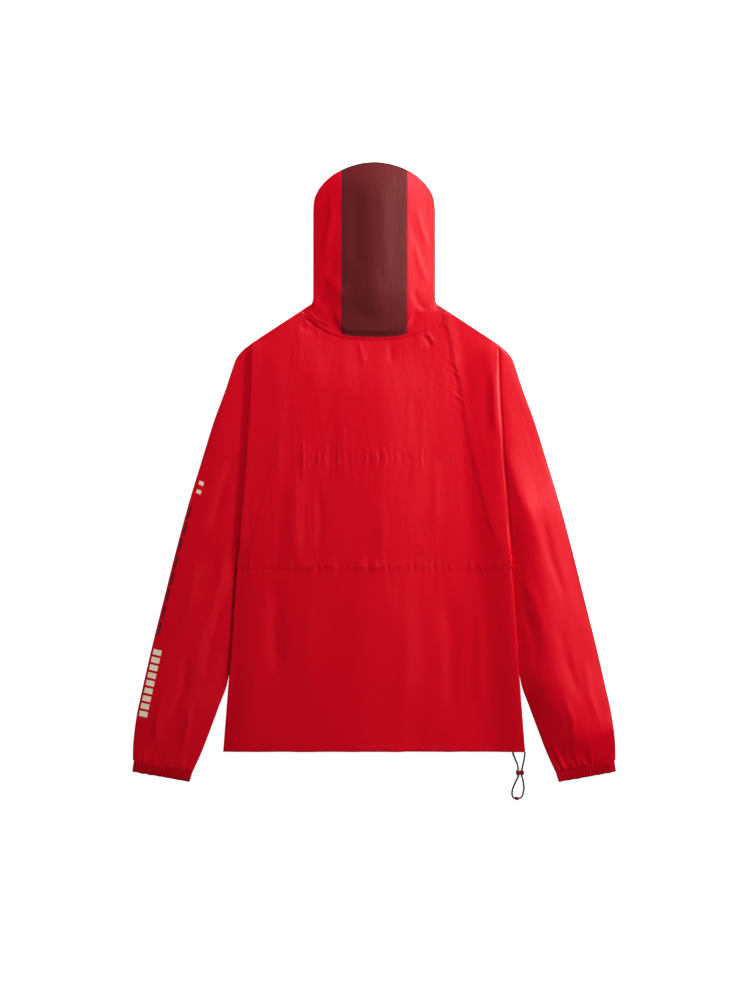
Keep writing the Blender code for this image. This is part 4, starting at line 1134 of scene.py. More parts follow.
@dataclass
class BackPanels:
    """The back: yoke, middle and lower panel, and the tape along the neck seam."""

    form: FlatForm
    nylon: NylonFinish
    pitch: float = 2.5
    column_pitch: float = 2.1
    lower_columns: int = 220
    hem_depth: float = 13.0
    tape_width: float = 6.5
    tape_thickness: float = 0.8

    def build(self) -> None:
        """Build and dress the four pieces."""
        below = ("front_panel",)
        yoke = self._level_panel("back_yoke", RAGLAN_SEAM[0][0], YOKE_LINE)
        dress(yoke, self.nylon, "back_yoke", cut=Cut(350, 256, 0.80, below))
        middle = self._level_panel("back_middle", YOKE_LINE, WAIST_LINE)
        dress(middle, self.nylon, "back_middle", cut=Cut(496, 197, 0.80, below))
        dress(self._lower_panel(), self.nylon, "back_lower", cut=Cut(548, 331, 0.96, below))
        dress(self._tape(), self.nylon, "neck_tape", cut=Cut(262, 10, 0.65, ("back_yoke",)))

    def surface(self, x: Array, y: Array) -> Array:
        """Height of the back's outer side, creases included."""
        hem = y - HEM_LINE - self.hem_depth
        turned = 0.2 * ease(-hem / 3.0) - 0.06 * np.exp(-((hem / 1.2) ** 2))
        puckers = Puckers(pitch=5.0, height=0.12, reach_in=8.0, reach_out=7.0, slant=0.2, seed=61)
        return self.form.back_base(x, y) + self.form.back_relief(x, y) + turned + puckers.relief(x, hem)

    def _level_panel(self, name: str, first: float, last: float) -> Piece:
        """A panel between the two raglan seams, its upper edge along the neck for the yoke.

        Args:
            name: the panel's name.
            first, last: heights y of its upper and lower edge.

        Returns:
            The panel.
        """
        heights = np.linspace(first, last, int((first - last) / self.pitch) + 2)
        columns = int(2 * self.form.body_half_width(np.array(last)) / self.column_pitch)
        shares = np.linspace(-1, 1, columns)
        shares = shares * (1.25 - 0.25 * shares**2)
        x = shares[None, :] * self.form.body_half_width(heights)[:, None]
        if first > YOKE_LINE:
            top = self.form.back_neck_y(np.abs(shares) * NECK_HALF)
        else:
            top = np.full(columns, first)
        run = ((first - heights) / (first - last))[:, None]
        y = top[None, :] + (last - top)[None, :] * run
        points, inward = level_columns(x, y, self.surface(x, y), True)
        return shell_object(name + "_cloth", SkinGrid(points, inward, points[..., :2]))

    def _lower_panel(self) -> Piece:
        """The lower panel, rounded off along both side edges, with its hem turned up.

        Returns:
            The panel.
        """
        heights = np.linspace(WAIST_LINE, HEM_LINE, int((WAIST_LINE - HEM_LINE) / self.pitch))
        steps = np.arange(self.lower_columns)
        wave = 0.5 * grain_noise((2 * steps / self.lower_columns - 1) * 14 + 30, 0.0 * steps, 62)
        half = self.form.side_x(heights)
        shares = np.linspace(-1, 1, self.lower_columns)
        x = shares[None, :] * (half - FOLD_RADIUS)[:, None]
        drop = ease((HEM_LINE + 30 - heights) / 30)[:, None] * wave[None, :] * (1 - shares**2)[None, :]
        y = heights[:, None] + drop
        top = level_columns(x, y, self.surface(x, y), True)
        ends = []
        for side in Side:
            low = self.form.front_lift(side.value * half, heights)
            high = self.surface(side.value * half, heights)
            ends.append(quarter_fold(half, heights, low, high, True))
        points, inward = joined(flipped(ends[0]), top, ends[1])
        # Painted shade on the folded side edges: 0.55 of full strength up the panel, full near the hem, and
        # full all along the hem's last row.
        free = 0.55 + 0.45 * ease((-390.0 - heights) / 40.0)
        return shell_object("back_lower_cloth", SkinGrid(points, inward, plan_uv(points), (-1,), free))

    def _tape(self) -> Piece:
        """The tape that covers the neck seam, a little puckered.

        Returns:
            The tape.
        """
        insets = np.array([0.5, 0.9, 1.8, 2.7, 3.6, 4.5, 5.3, 6.0, self.tape_width])
        x = np.linspace(-1, 1, 120)[None, :] * (NECK_HALF - 2.5) + 0 * insets[:, None]
        y = self.form.back_neck_y(np.abs(x)) - insets[:, None]
        pucker = 0.1 * grain_noise(x / 4.5 + 20, y / 6.0 + 20, 63)
        z = self.surface(x, y) + 0.12 + self.tape_thickness * (1 - insets / self.tape_width)[:, None] + pucker
        points, inward = level_columns(x, y, z, True)
        return shell_object("neck_tape_cloth", SkinGrid(points, inward, points[..., :2]), thickness=0.4)


@dataclass
class FrontPanel:
    """The front, which lies on the surface and climbs onto the sleeves along its side edges."""

    form: FlatForm
    nylon: NylonFinish
    columns: int = 108
    upper_rows: int = 90
    lower_rows: int = 70
    inset_share: float = 0.036

    def build(self) -> None:
        """Build and dress the front."""
        shares = np.linspace(-1, 1, self.columns)
        upper = np.linspace(RAGLAN_SEAM[0][0], WAIST_LINE, self.upper_rows, endpoint=False)
        lower = np.linspace(WAIST_LINE, HEM_LINE, self.lower_rows)
        heights = np.concatenate([upper, lower])
        half = self.form.body_half_width(heights)
        inset = np.where(heights > WAIST_LINE, self.inset_share * half, FOLD_RADIUS)
        x = shares[None, :] * (half - inset)[:, None]
        top = self.form.front_neck_y(np.abs(shares) * NECK_HALF)
        run = ((heights[0] - upper) / (heights[0] - WAIST_LINE))[:, None]
        y = np.vstack([top[None, :] + (WAIST_LINE - top)[None, :] * run,
                       lower[:, None] + 0 * shares[None, :]])
        middle = level_columns(x, y, self._under(x, y), False)
        ends = []
        for side in Side:
            right = quarter_fold(half, heights, self.form.front_lift(side.value * half, heights),
                                 self.form.back_base(side.value * half, heights), False)
            steps = np.array(EDGE_ANGLES[::-1])[None, :] / 90.0
            flat = y[: len(upper), -1][:, None] + 0 * steps
            beside = (half - inset)[: len(upper), None] + inset[: len(upper), None] * (1 - steps[:, ::-1])
            right[0][: len(upper)] = np.stack([beside, flat, 0 * beside], axis=2)
            right[1][: len(upper)] = (0.0, 0.0, 1.0)
            ends.append(right)
        points, inward = joined(flipped(ends[0]), middle, ends[1])
        piece = shell_object("front_panel_cloth", SkinGrid(points, inward, plan_uv(points)))
        dress(piece, self.nylon, "front_panel", cut=Cut(548, 783, 0.80, ("sleeve_left", "sleeve_right")))

    def _under(self, x: Array, y: Array) -> Array:
        """Height of the front's underside, with creases that stand up off the surface."""
        relief = creased(0.0, x, y, FRONT_CREASES)
        crumple = 0.35 + 0.5 * self.form.crumple(x + 300, y + 170)
        return self.form.front_lift(x, y) + np.clip(relief + crumple, 0.0, 1.2)


@dataclass
class Hood:
    """The hood: a centre panel over the crown and two side panels."""

    form: FlatForm
    nylon: NylonFinish
    band: NylonFinish
    band_columns: int = 56
    band_rows: int = 130
    return_rows: int = 24
    stations: int = 140
    top_columns: int = 58
    under_columns: int = 44

    def build(self) -> None:
        """Build and dress the three panels."""
        dress(self._centre(), self.band, "hood_center_panel", cut=Cut(118, 352, 0.95))
        for side in Side:
            dress(self._side(side), self.nylon, "hood_side_" + side.word,
                  cut=Cut(160, 330, 0.62, ("hood_center_panel",)))

    def surface(self, x: Array, y: Array) -> Array:
        """Height of the hood's upper side, seams and creases included.

        Args:
            x, y: the places.

        Returns:
            The height.
        """
        away = np.abs(x) - BAND_HALF
        seam = SeamLine(depth=0.05, ridge=0.04, ridge_width=5.0)
        puckers = Puckers(pitch=8.0, height=0.16, reach_in=6.0, reach_out=8.0, slant=0.4, seed=71)
        relief = seam.relief(away) + puckers.relief(y, away + 0 * y)
        relief = relief + self.form.crumple(x * 1.1 + 700, y * 1.1 + 300)
        relief = relief + 0.07 * ease(-away / 4.0) * grain_noise(x / 3.4 + 15, y / 13.0 + 15, 55)
        relief = creased(relief, x, y, HOOD_CREASES)
        return self.form.hood_base(x, y) + relief * ease((y - self.form.back_neck_y(np.abs(x)) + 3) / 9.0)

    def _centre(self) -> Piece:
        """The centre panel in columns from the neck, over the crown and under to the face opening.

        Returns:
            The panel.
        """
        x = np.linspace(-1, 1, self.band_columns) * BAND_HALF
        start = self.form.back_neck_y(np.abs(x))
        crown = HOOD_CROWN_Y + HOOD_CROWN_HEIGHT * np.sqrt(1 - (np.abs(x) / HOOD_HALF) ** HOOD_CROWN_POWER)
        end = crown - FOLD_RADIUS
        run = np.linspace(0, 1, self.band_rows)
        y = start[:, None] + (end - start)[:, None] * run[None, :]
        across = x[:, None] + 0 * y
        top = level_columns(across, y, self.surface(across, y), True)
        outward = np.tile([0.0, 1.0], (len(x), 1))
        fold = fold_columns(np.stack([x, crown], axis=1), outward, np.zeros(len(x)), top[0][:, -1, 2], 10)
        below = end[:, None] - BAND_RETURN * np.linspace(0, 1, self.return_rows)[None, :]
        beside = x[:, None] + 0 * below
        lift = np.clip(0.3 + 0.5 * self.form.crumple(beside + 50, below), 0, 0.9) * ease(
            (end[:, None] - below) / 8.0)
        under = level_columns(beside, below, lift, False)
        points, inward = joined(top, fold, under)
        beyond = np.arange(1, points.shape[1] - y.shape[1] + 1)[None, :] * 1.5
        run_uv = np.concatenate([y, y[:, -1:] + beyond], axis=1)
        uv = np.stack([x[:, None] + 0 * run_uv, run_uv], axis=2)
        return shell_object("hood_center_panel_cloth", SkinGrid(points, inward, uv))

    def _side(self, side: Side) -> Piece:
        """A side panel, fanned out from the centre panel's seam round the outline to the face opening.

        Args:
            side: which of the two.

        Returns:
            The panel.
        """
        stations = np.linspace(0, len(HOOD_SECTIONS) - 1, self.stations)
        column = [smooth([(i, row[k]) for i, row in enumerate(HOOD_SECTIONS)])(stations) for k in range(5)]
        seams = np.stack([np.full(len(stations), BAND_HALF), column[0]], axis=1)
        outline = np.stack(column[1:3], axis=1)
        opening = np.stack(column[3:], axis=1)
        normals = level_normals(outline, seams)
        first = outline[0] - np.array([NECK_HALF, self.form.back_neck_y(np.array(NECK_HALF))])
        normals = self._eased(normals, first / np.linalg.norm(first), np.array([0.0, 1.0]), stations)
        curve = np.clip(1 - stations / 5, 0, None) ** 1.5
        turn = outline - normals * FOLD_RADIUS
        shares = np.linspace(0, 1, self.top_columns)
        top_x, top_y = self._fan(seams, turn, curve, shares, self.form.back_neck_y)
        top = level_columns(top_x, top_y, self.surface(side.value * top_x, top_y), True)
        fold = fold_columns(outline, normals, np.zeros(len(outline)), top[0][:, -1, 2], 10)
        shares = np.linspace(0, 1, self.under_columns)
        low_x, low_y = self._fan(turn, opening, curve, shares, self.form.front_neck_y)
        lift = np.clip(0.3 + 0.5 * self.form.crumple(low_x + 90 * side.value, low_y), 0, 0.9)
        under = level_columns(low_x, low_y, lift * shares[None, :] ** 0.3, False)
        points, inward = joined(top, fold, under)
        uv = np.stack([BAND_HALF + run_along(points), points[..., 1]], axis=2)
        return shell_object(f"hood_side_{side.word}_cloth", SkinGrid(points, inward, uv).on(side))

    @staticmethod
    def _eased(normals: Array, first: Array, last: Array, stations: Array) -> Array:
        """Turn the outline's normals to the given ones at its two ends."""
        start = ease(1 - stations / 1.5)[:, None]
        end = ease((stations - stations[-1] + 1.0) / 1.0)[:, None]
        turned = normals * (1 - start) * (1 - end) + first * start + last * end
        return turned / np.linalg.norm(turned, axis=1)[:, None]

    @staticmethod
    def _fan(start: Array, end: Array, curve: Array, shares: Array,
             neck_y: Callable[[Array], Array]) -> tuple[Array, Array]:
        """Places between two lines, the first sections bent along the neck."""
        x = start[:, :1] + (end - start)[:, :1] * shares[None, :]
        y = start[:, 1:] + (end - start)[:, 1:] * shares[None, :]
        return x, y + (neck_y(np.abs(x)) - y) * curve[:, None]


@dataclass
class Gathers:
    """Uneven gathers side by side, of which each runs out at its own distance from the seam."""

    count: int
    height: float
    seed: int
    reach: tuple[float, float]

    def relief(self, share: Array, away: Array) -> Array:
        """Height added at this share of the width and this distance from the seam.

        Args:
            share: the share.
            away: the distance.

        Returns:
            The height.
        """
        rng = np.random.default_rng(self.seed)
        centres = (np.arange(self.count) + 0.5 + rng.uniform(-0.28, 0.28, self.count)) / self.count
        heights = self.height * rng.uniform(0.55, 1.15, self.count)
        widths = rng.uniform(0.26, 0.42, self.count) / self.count
        reaches = rng.uniform(*self.reach, self.count)
        slants = rng.uniform(-0.5, 0.5, self.count) / self.count
        relief = np.zeros(np.broadcast(share, away).shape)
        for centre, height, width, reach, slant in zip(centres, heights, widths, reaches, slants):
            spread = width * (1 + away / (2.2 * reach))
            ridge = np.exp(-(((share - centre - slant * away / reach) / spread) ** 2))
            relief = relief + height * ridge * np.clip(1 - away / reach, 0, 1) ** 1.5
        return relief


@dataclass
class Sleeve:
    """A raglan sleeve laid down beside the body, its inner part under the fold of the body's edge."""

    form: FlatForm
    side: Side
    nylon: NylonFinish
    rows: int = 300
    inner_columns: int = 44
    outer_columns: int = 62
    under_columns: int = 30

    def build(self) -> None:
        """Build and dress the sleeve."""
        name = "sleeve_" + self.side.word
        piece = shell_object(name + "_cloth", self._grid().on(self.side))
        dress(piece, self.nylon, name, cut=Cut(430, 820, 0.66))

    def _sections(self) -> tuple[Array, Array, Array]:
        """Inner edge, outer edge and outward directions of the sections from the neck to the cuff.

        Returns:
            The three, one row for each section.
        """
        heights = np.linspace(RAGLAN_SEAM[0][0], CUFF_TOP, self.rows)
        inner = np.stack([self.form.sleeve_inner_x(heights), heights, 0 * heights], axis=1)
        run = run_along(inner)
        plan = path_points(SLEEVE_OUTER_EDGE, run / run[-1])
        outer = np.concatenate([plan, np.zeros((self.rows, 1))], axis=1)
        outward = np.concatenate([level_normals(outer, inner), np.zeros((self.rows, 1))], axis=1)
        across = (outer - inner) / np.linalg.norm(outer - inner, axis=1)[:, None]
        start = ease(1 - np.arange(self.rows) / 10)[:, None]
        end = ease((np.arange(self.rows) - self.rows + 9) / 8)[:, None]
        outward = outward * (1 - start) * (1 - end) + across * (start + end)
        return inner, outer, outward / np.linalg.norm(outward, axis=1)[:, None]

    def _grid(self) -> SkinGrid:
        """The skin grid of the right sleeve, with this sleeve's own creases.

        Returns:
            The grid.
        """
        inner, outer, outward = self._sections()
        turn = outer - outward * FOLD_RADIUS
        length = np.linalg.norm(turn - inner, axis=1)
        across = (turn - inner) / length[:, None]
        closed = inner[:, 1] <= WAIST_LINE
        crest = self.form.crest_share(inner, turn) * length
        low = self._start(crest, length, closed)
        split = np.clip(crest, low, length - np.minimum(10.0, 0.4 * length))
        first = np.linspace(0, 1, self.inner_columns)[None, :] * (split - low)[:, None] + low[:, None]
        steps = (np.linspace(0, 1, self.outer_columns + 1)[1:] ** 1.25)[None, :]
        second = split[:, None] + (length - split)[:, None] * steps
        distance = np.concatenate([first, second], axis=1)
        top = self._top(inner, across, distance, crest, length, closed)
        fold = fold_columns(outer, outward, np.zeros(self.rows), top[0][:, -1, 2], 10)
        back = (length - 1.0)[:, None] * np.linspace(1, 0, self.under_columns)[None, :] ** 0.9 + 1.0
        under = self._under(inner, across, np.maximum(back, low[:, None] * 0.9), length)
        points, inward = joined(self._edge(inner, across, closed, True, crest, length), top, fold, under,
                                self._edge(inner, across, closed, False, crest, length))
        return SkinGrid(points, inward, self._uv(points, top[0].shape[1] + 3))

    @staticmethod
    def _start(crest: Array, length: Array, closed: Array) -> Array:
        """Distance from the inner edge at which the top's columns begin, closest at the armpit."""
        return np.minimum(np.where(closed, 4.0, np.clip(0.8 * crest, 0.5, 4.0)), 0.4 * length)

    @staticmethod
    def _uv(points: Array, edge: int) -> Array:
        """Grain coordinates: the distance from the outer edge, and the run along the sleeve."""
        run, along = run_along(points), run_along(points[:, edge, :2])
        return np.stack([run[:, edge][:, None] - run, along[:, None] + 0 * run], axis=2)

    def _top(self, inner: Array, across: Array, distance: Array, crest: Array, length: Array,
             closed: Array) -> Columns:
        """The sleeve's upper side: the body's form inside the side fold, its own dome outside it.

        Args:
            inner: the sections' places on the inner edge.
            across: their directions across the sleeve.
            distance: distance of each column from the inner edge.
            crest, length: such distances of the side fold and of the outer edge.
            closed: whether a section is below the armpit.

        Returns:
            The points and the inward directions.
        """
        place = inner[:, None, :] + across[:, None, :] * distance[..., None]
        x, y = place[..., 0], place[..., 1]
        sign = self.side.value
        inside = (distance <= crest[:, None]) & ~closed[:, None]
        back_relief = self.form.back_relief(sign * x, y)
        out = np.clip(distance - crest[:, None], 0, None)
        edge_x = np.where(y < SIDE_EDGE[0][0], self.form.side_x(y), x)
        crest_height = self.form.back_base(sign * edge_x, y) - TWO_LAYERS
        to_edge = np.clip(length[:, None] - distance, 0, None)
        width = np.maximum((length - crest)[:, None], 1e-3)
        if self.side is Side.RIGHT:
            drop, dome = self._right_dome(y, inner[:, 1:2], out, width)
        else:
            drop, dome = self._left_dome(y, out, to_edge, width)
        fold = np.where(closed[:, None], 0.0, crest_height * drop)
        relief = self._relief(distance, to_edge, length, y, inner) * ease(out / 6.0) * ease(to_edge / 5.0)
        own = TWO_LAYERS * self._pressed(np.where(closed[:, None], distance, out), y) + fold + dome + relief
        blend = np.where(closed[:, None], 0.0, np.clip(1 - out / 3.0, 0, 1))
        body = self.form.back_base(sign * x, y) + back_relief
        return level_columns(x, y, np.where(inside, body, own + back_relief * blend), True)

    def _right_dome(self, y: Array, inner_y: Array, out: Array, width: Array) -> tuple[Array, Array]:
        """How the right sleeve falls away from the side fold, and the ridge of air between fold and edge.

        Args:
            y: height of each place.
            inner_y: height at which its section starts.
            out: distance from the side fold.
            width: distance between the side fold and the outer edge.

        Returns:
            The share of the fold's height that is left, and the height of the air.
        """
        near = y + (inner_y - y) * ease((-430.0 - y) / 50.0)
        ridge = np.minimum(self.form.ridge[0](near), 0.78 * width)
        kept = 0.93 * ease((inner_y - WAIST_LINE) / 80.0)
        level = 1 - self.form.ridge[2](near) * np.clip((out - ridge) / (width - ridge), 0, 1) ** 1.35
        steep = 0.7 + 0.8 * ease((inner_y - WAIST_LINE) / 30.0)
        drop = (kept * level + (1 - kept) * np.exp(-((out / steep) ** 2))) * ease((y - WAIST_LINE) / 10.0)
        rise = np.sin(0.5 * np.pi * np.clip(out / ridge, 0, 1))
        hollow = 0.5 * np.exp(-(((out - 5.0) / 2.4) ** 2)) * ease((y + 170.0) / 60.0)
        return drop, self.form.ridge[1](near) * np.where(out < ridge, rise, level) - hollow

    def _left_dome(self, y: Array, out: Array, to_edge: Array, width: Array) -> tuple[Array, Array]:
        """The same two for the left sleeve, which is low and even."""
        drop = np.clip(1 - out / self.form.fold_fall(y), 0, 1) ** 1.25
        settled = (0.3 + 0.7 * ease((y - CUFF_TOP) / 110.0)) * (0.35 + 0.65 * ease((y - CUFF_TOP) / 34.0))
        slope = 0.7 + 0.3 * np.clip(to_edge / width, 0, 1)
        air = ease(width / 110.0) * slope * ease(out / 70.0)
        return drop, air * (1 - np.exp(-to_edge / 9.0)) * settled

    def _pressed(self, distance: Array, y: Array) -> Array:
        """Share of its height that the sleeve keeps, less along the left one's inner edge under the body."""
        if self.side is Side.RIGHT:
            return np.ones(np.broadcast(distance, y).shape)
        press = ease(1 - distance / 110.0) * ease((y + 440.0) / 60.0) * ease((-115.0 - y) / 56.0)
        return 1 - (1 - PRESSED) * press

    def _relief(self, distance: Array, to_edge: Array, length: Array, y: Array, inner: Array) -> Array:
        """Crinkle, long soft creases and the gathers above the cuff.

        Args:
            distance, to_edge: distances from the inner and to the outer edge.
            length: the sections' widths.
            y: height y of each place.
            inner: the sections' places on the inner edge.

        Returns:
            The height to add.
        """
        right = self.side is Side.RIGHT
        shift = 200.0 if right else 900.0
        relief = self.form.crumple(to_edge + shift, y * 1.03 + shift)
        relief = creased(relief, to_edge, y, SLEEVE_CREASES[self.side])
        away = (inner[:, 1] - CUFF_TOP)[:, None] + 0 * distance
        if right:
            gathers = Gathers(count=9, height=1.45, seed=81, reach=(14.0, 60.0))
        else:
            gathers = Gathers(count=9, height=1.0, seed=82, reach=(14.0, 46.0))
        fine = Gathers(count=17, height=0.4, seed=83 if right else 84, reach=(6.0, 16.0))
        share = distance / length[:, None]
        gathered = gathers.relief(share, away) + fine.relief(share, away)
        return relief + gathered * (0.4 + 0.6 * ease(away / 8.0))

    def _under(self, inner: Array, across: Array, distance: Array, length: Array) -> Columns:
        """The sleeve's underside, on the surface but for its creases.

        Args:
            inner, across: the sections' places on the inner edge and their directions.
            distance: distance of each column from that edge.
            length: the sections' widths.

        Returns:
            The points and the inward directions.
        """
        place = inner[:, None, :] + across[:, None, :] * distance[..., None]
        x, y = place[..., 0], place[..., 1]
        shift = 500.0 if self.side is Side.RIGHT else 1300.0
        away = (inner[:, 1] - CUFF_TOP)[:, None] + 0 * distance
        relief = 0.3 + 0.5 * self.form.crumple(distance + shift, y + shift)
        gathers = Gathers(count=9, height=0.9, seed=85, reach=(18.0, 52.0))
        relief = relief + gathers.relief(distance / length[:, None], away)
        settle = ease((length[:, None] - distance) / 8.0) * ease(distance / 8.0)
        return level_columns(x, y, np.clip(relief, 0, 1.2) * settle, False)

    def _edge(self, inner: Array, across: Array, closed: Array, upper: bool, crest: Array,
              length: Array) -> Columns:
        """Three columns at the inner edge: cut square at the raglan seam, rounded below the armpit.

        Args:
            inner, across: the sections' places on the inner edge and their directions.
            closed: whether a section is below the armpit.
            upper: whether they start the top.
            crest, length: distances of the side fold and of the outer edge.

        Returns:
            The points and the inward directions.
        """
        shares = np.array([0.0, 0.4, 0.75]) if upper else np.array([0.75, 0.4, 0.0])
        angle = np.radians(7 + 83 * shares)[None, :] * (1 if upper else -1)
        cos, sin = np.cos(angle)[..., None], np.sin(angle)[..., None]
        up = np.array([0.0, 0.0, 1.0])
        turn = -across[:, None, :] * cos + up * sin
        round_edge = (inner + across * FOLD_RADIUS + up * FOLD_RADIUS)[:, None, :] + turn * FOLD_RADIUS
        round_edge[..., 2] *= self._pressed(np.zeros(len(inner)), inner[:, 1])[:, None]
        low = self._start(crest, length, closed)
        square = inner[:, None, :] + across[:, None, :] * (low[:, None] * 0.8 * shares[None, :])[..., None]
        inward = np.broadcast_to(up * (-1.0 if upper else 1.0), square.shape).copy()
        if upper:
            x, y = self.side.value * square[..., 0], square[..., 1]
            square[..., 2] = self.form.back_base(x, y) + self.form.back_relief(x, y)
        pick = closed[:, None, None]
        return np.where(pick, round_edge, square), np.where(pick, -turn, inward)


@dataclass
class Cuff:
    """A gathered elastic cuff, laid flat."""

    side: Side
    nylon: NylonFinish
    rings: int = 16
    top_columns: int = 170
    under_columns: int = 60

    def build(self) -> None:
        """Build and dress the cuff."""
        name = "cuff_" + self.side.word
        piece = shell_object(name + "_cloth", self._grid().on(self.side), ring=True)
        dress(piece, self.nylon, name, cut=Cut(215, 23, 1.0))

    def _grid(self) -> SkinGrid:
        """Rings from the cuff's lower edge to the sleeve's seam.

        Returns:
            The skin grid of the right cuff.
        """
        depth = np.linspace(0.0, CUFF_DEPTH, self.rings)
        share = (depth / CUFF_DEPTH)[:, None]
        inner_side, outer_side = ((1 - share) * np.array([*low, 0.0]) + share * np.array([*high, 0.0])
                                  for low, high in zip(CUFF_LOWER, CUFF_UPPER))
        width = np.linalg.norm(outer_side - inner_side, axis=1)[:, None]
        across = (outer_side - inner_side) / width
        upward = np.stack([-across[:, 1], across[:, 0], 0 * depth], axis=1)
        level = width - 2 * FOLD_RADIUS
        seed = 91 if self.side is Side.RIGHT else 92
        top_share = np.linspace(0, 1, self.top_columns)
        wave = self._wave(top_share, depth, seed) + self._puff(top_share, depth)
        edge = 0.7 * grain_noise(top_share * 17 + 5, 0 * top_share, seed + 4)
        sway = edge[None, :] * np.clip(1 - depth / 6.0, 0, 1)[:, None]
        sway = sway * ease(top_share * (1 - top_share) * 20)
        place = (inner_side[:, None, :] + across[:, None, :] * (FOLD_RADIUS + level * top_share)[..., None]
                 + upward[:, None, :] * sway[..., None])
        top = level_columns(place[..., 0], place[..., 1], TWO_LAYERS + wave, True)
        low, high = np.zeros(self.rings), TWO_LAYERS + wave[:, -1]
        outer = fold_columns(outer_side, across, low, high, 8)
        under_share = np.linspace(1, 0, self.under_columns)
        below = inner_side[:, None, :] + across[:, None, :] * (FOLD_RADIUS + level * under_share)[..., None]
        lift = np.clip(self._wave(under_share, depth, seed + 2) * 0.35, 0, 0.9)
        under = level_columns(below[..., 0], below[..., 1], lift, False)
        inner = fold_columns(inner_side, -across, low, TWO_LAYERS + wave[:, 0], 8)
        points, inward = joined(top, outer, under, (inner[0][:, ::-1], inner[1][:, ::-1]))
        run = run_along(points)
        # The two rows at the cuff's lower edge carry full painted shade.
        return SkinGrid(points, inward, np.stack([run, depth[:, None] + 0 * run], axis=2), (0, 1))

    @staticmethod
    def _wave(share: Array, depth: Array, seed: int) -> Array:
        """Uneven gathers across the cuff, pinched along the elastic's stitching.

        Args:
            share: shares of its width.
            depth: distances from its lower edge.
            seed: which gathers.

        Returns:
            The height to add.
        """
        rng = np.random.default_rng(seed)
        count = 17
        moved = np.concatenate([[0], rng.uniform(-0.25, 0.25, count - 1), [0]])
        knots = (np.arange(count + 1) + moved) / count
        warped = np.interp(share[None, :] + 0.004 * np.sin(depth[:, None] / 4.0), knots, np.arange(count + 1))
        tall = 0.7 + 0.3 * grain_noise(warped * 1.3, depth[:, None] / 14.0 + 3, seed + 1)
        swell = (0.5 - 0.5 * np.cos(2 * np.pi * warped)) ** 0.8
        channel = 1.0 - 0.3 * np.exp(-(((depth - 20.3) / 1.6) ** 2))
        ends = ease(share * 40) * ease((1 - share) * 40)
        return 0.45 * swell * tall * channel[:, None] * ends[None, :]

    def _puff(self, share: Array, depth: Array) -> Array:
        """Height of the cuff's top, which runs on from the sleeve's form and comes down to its lower edge.

        Args:
            share: shares of its width.
            depth: distances from its lower edge.

        Returns:
            The height to add.
        """
        if self.side is Side.RIGHT:
            across = np.minimum(np.clip(share / 0.8, 0, 1), np.clip((1 - share) / 0.1, 0.3, 1))
            across = np.sin(0.5 * np.pi * across)
            return (0.15 + 2.9 * depth / CUFF_DEPTH)[:, None] * across[None, :]
        puff = 0.35 * ease(depth / 9.0) + 0.35 * ease(depth / CUFF_DEPTH)
        return puff[:, None] * (ease(share * 40) * ease((1 - share) * 40))[None, :]


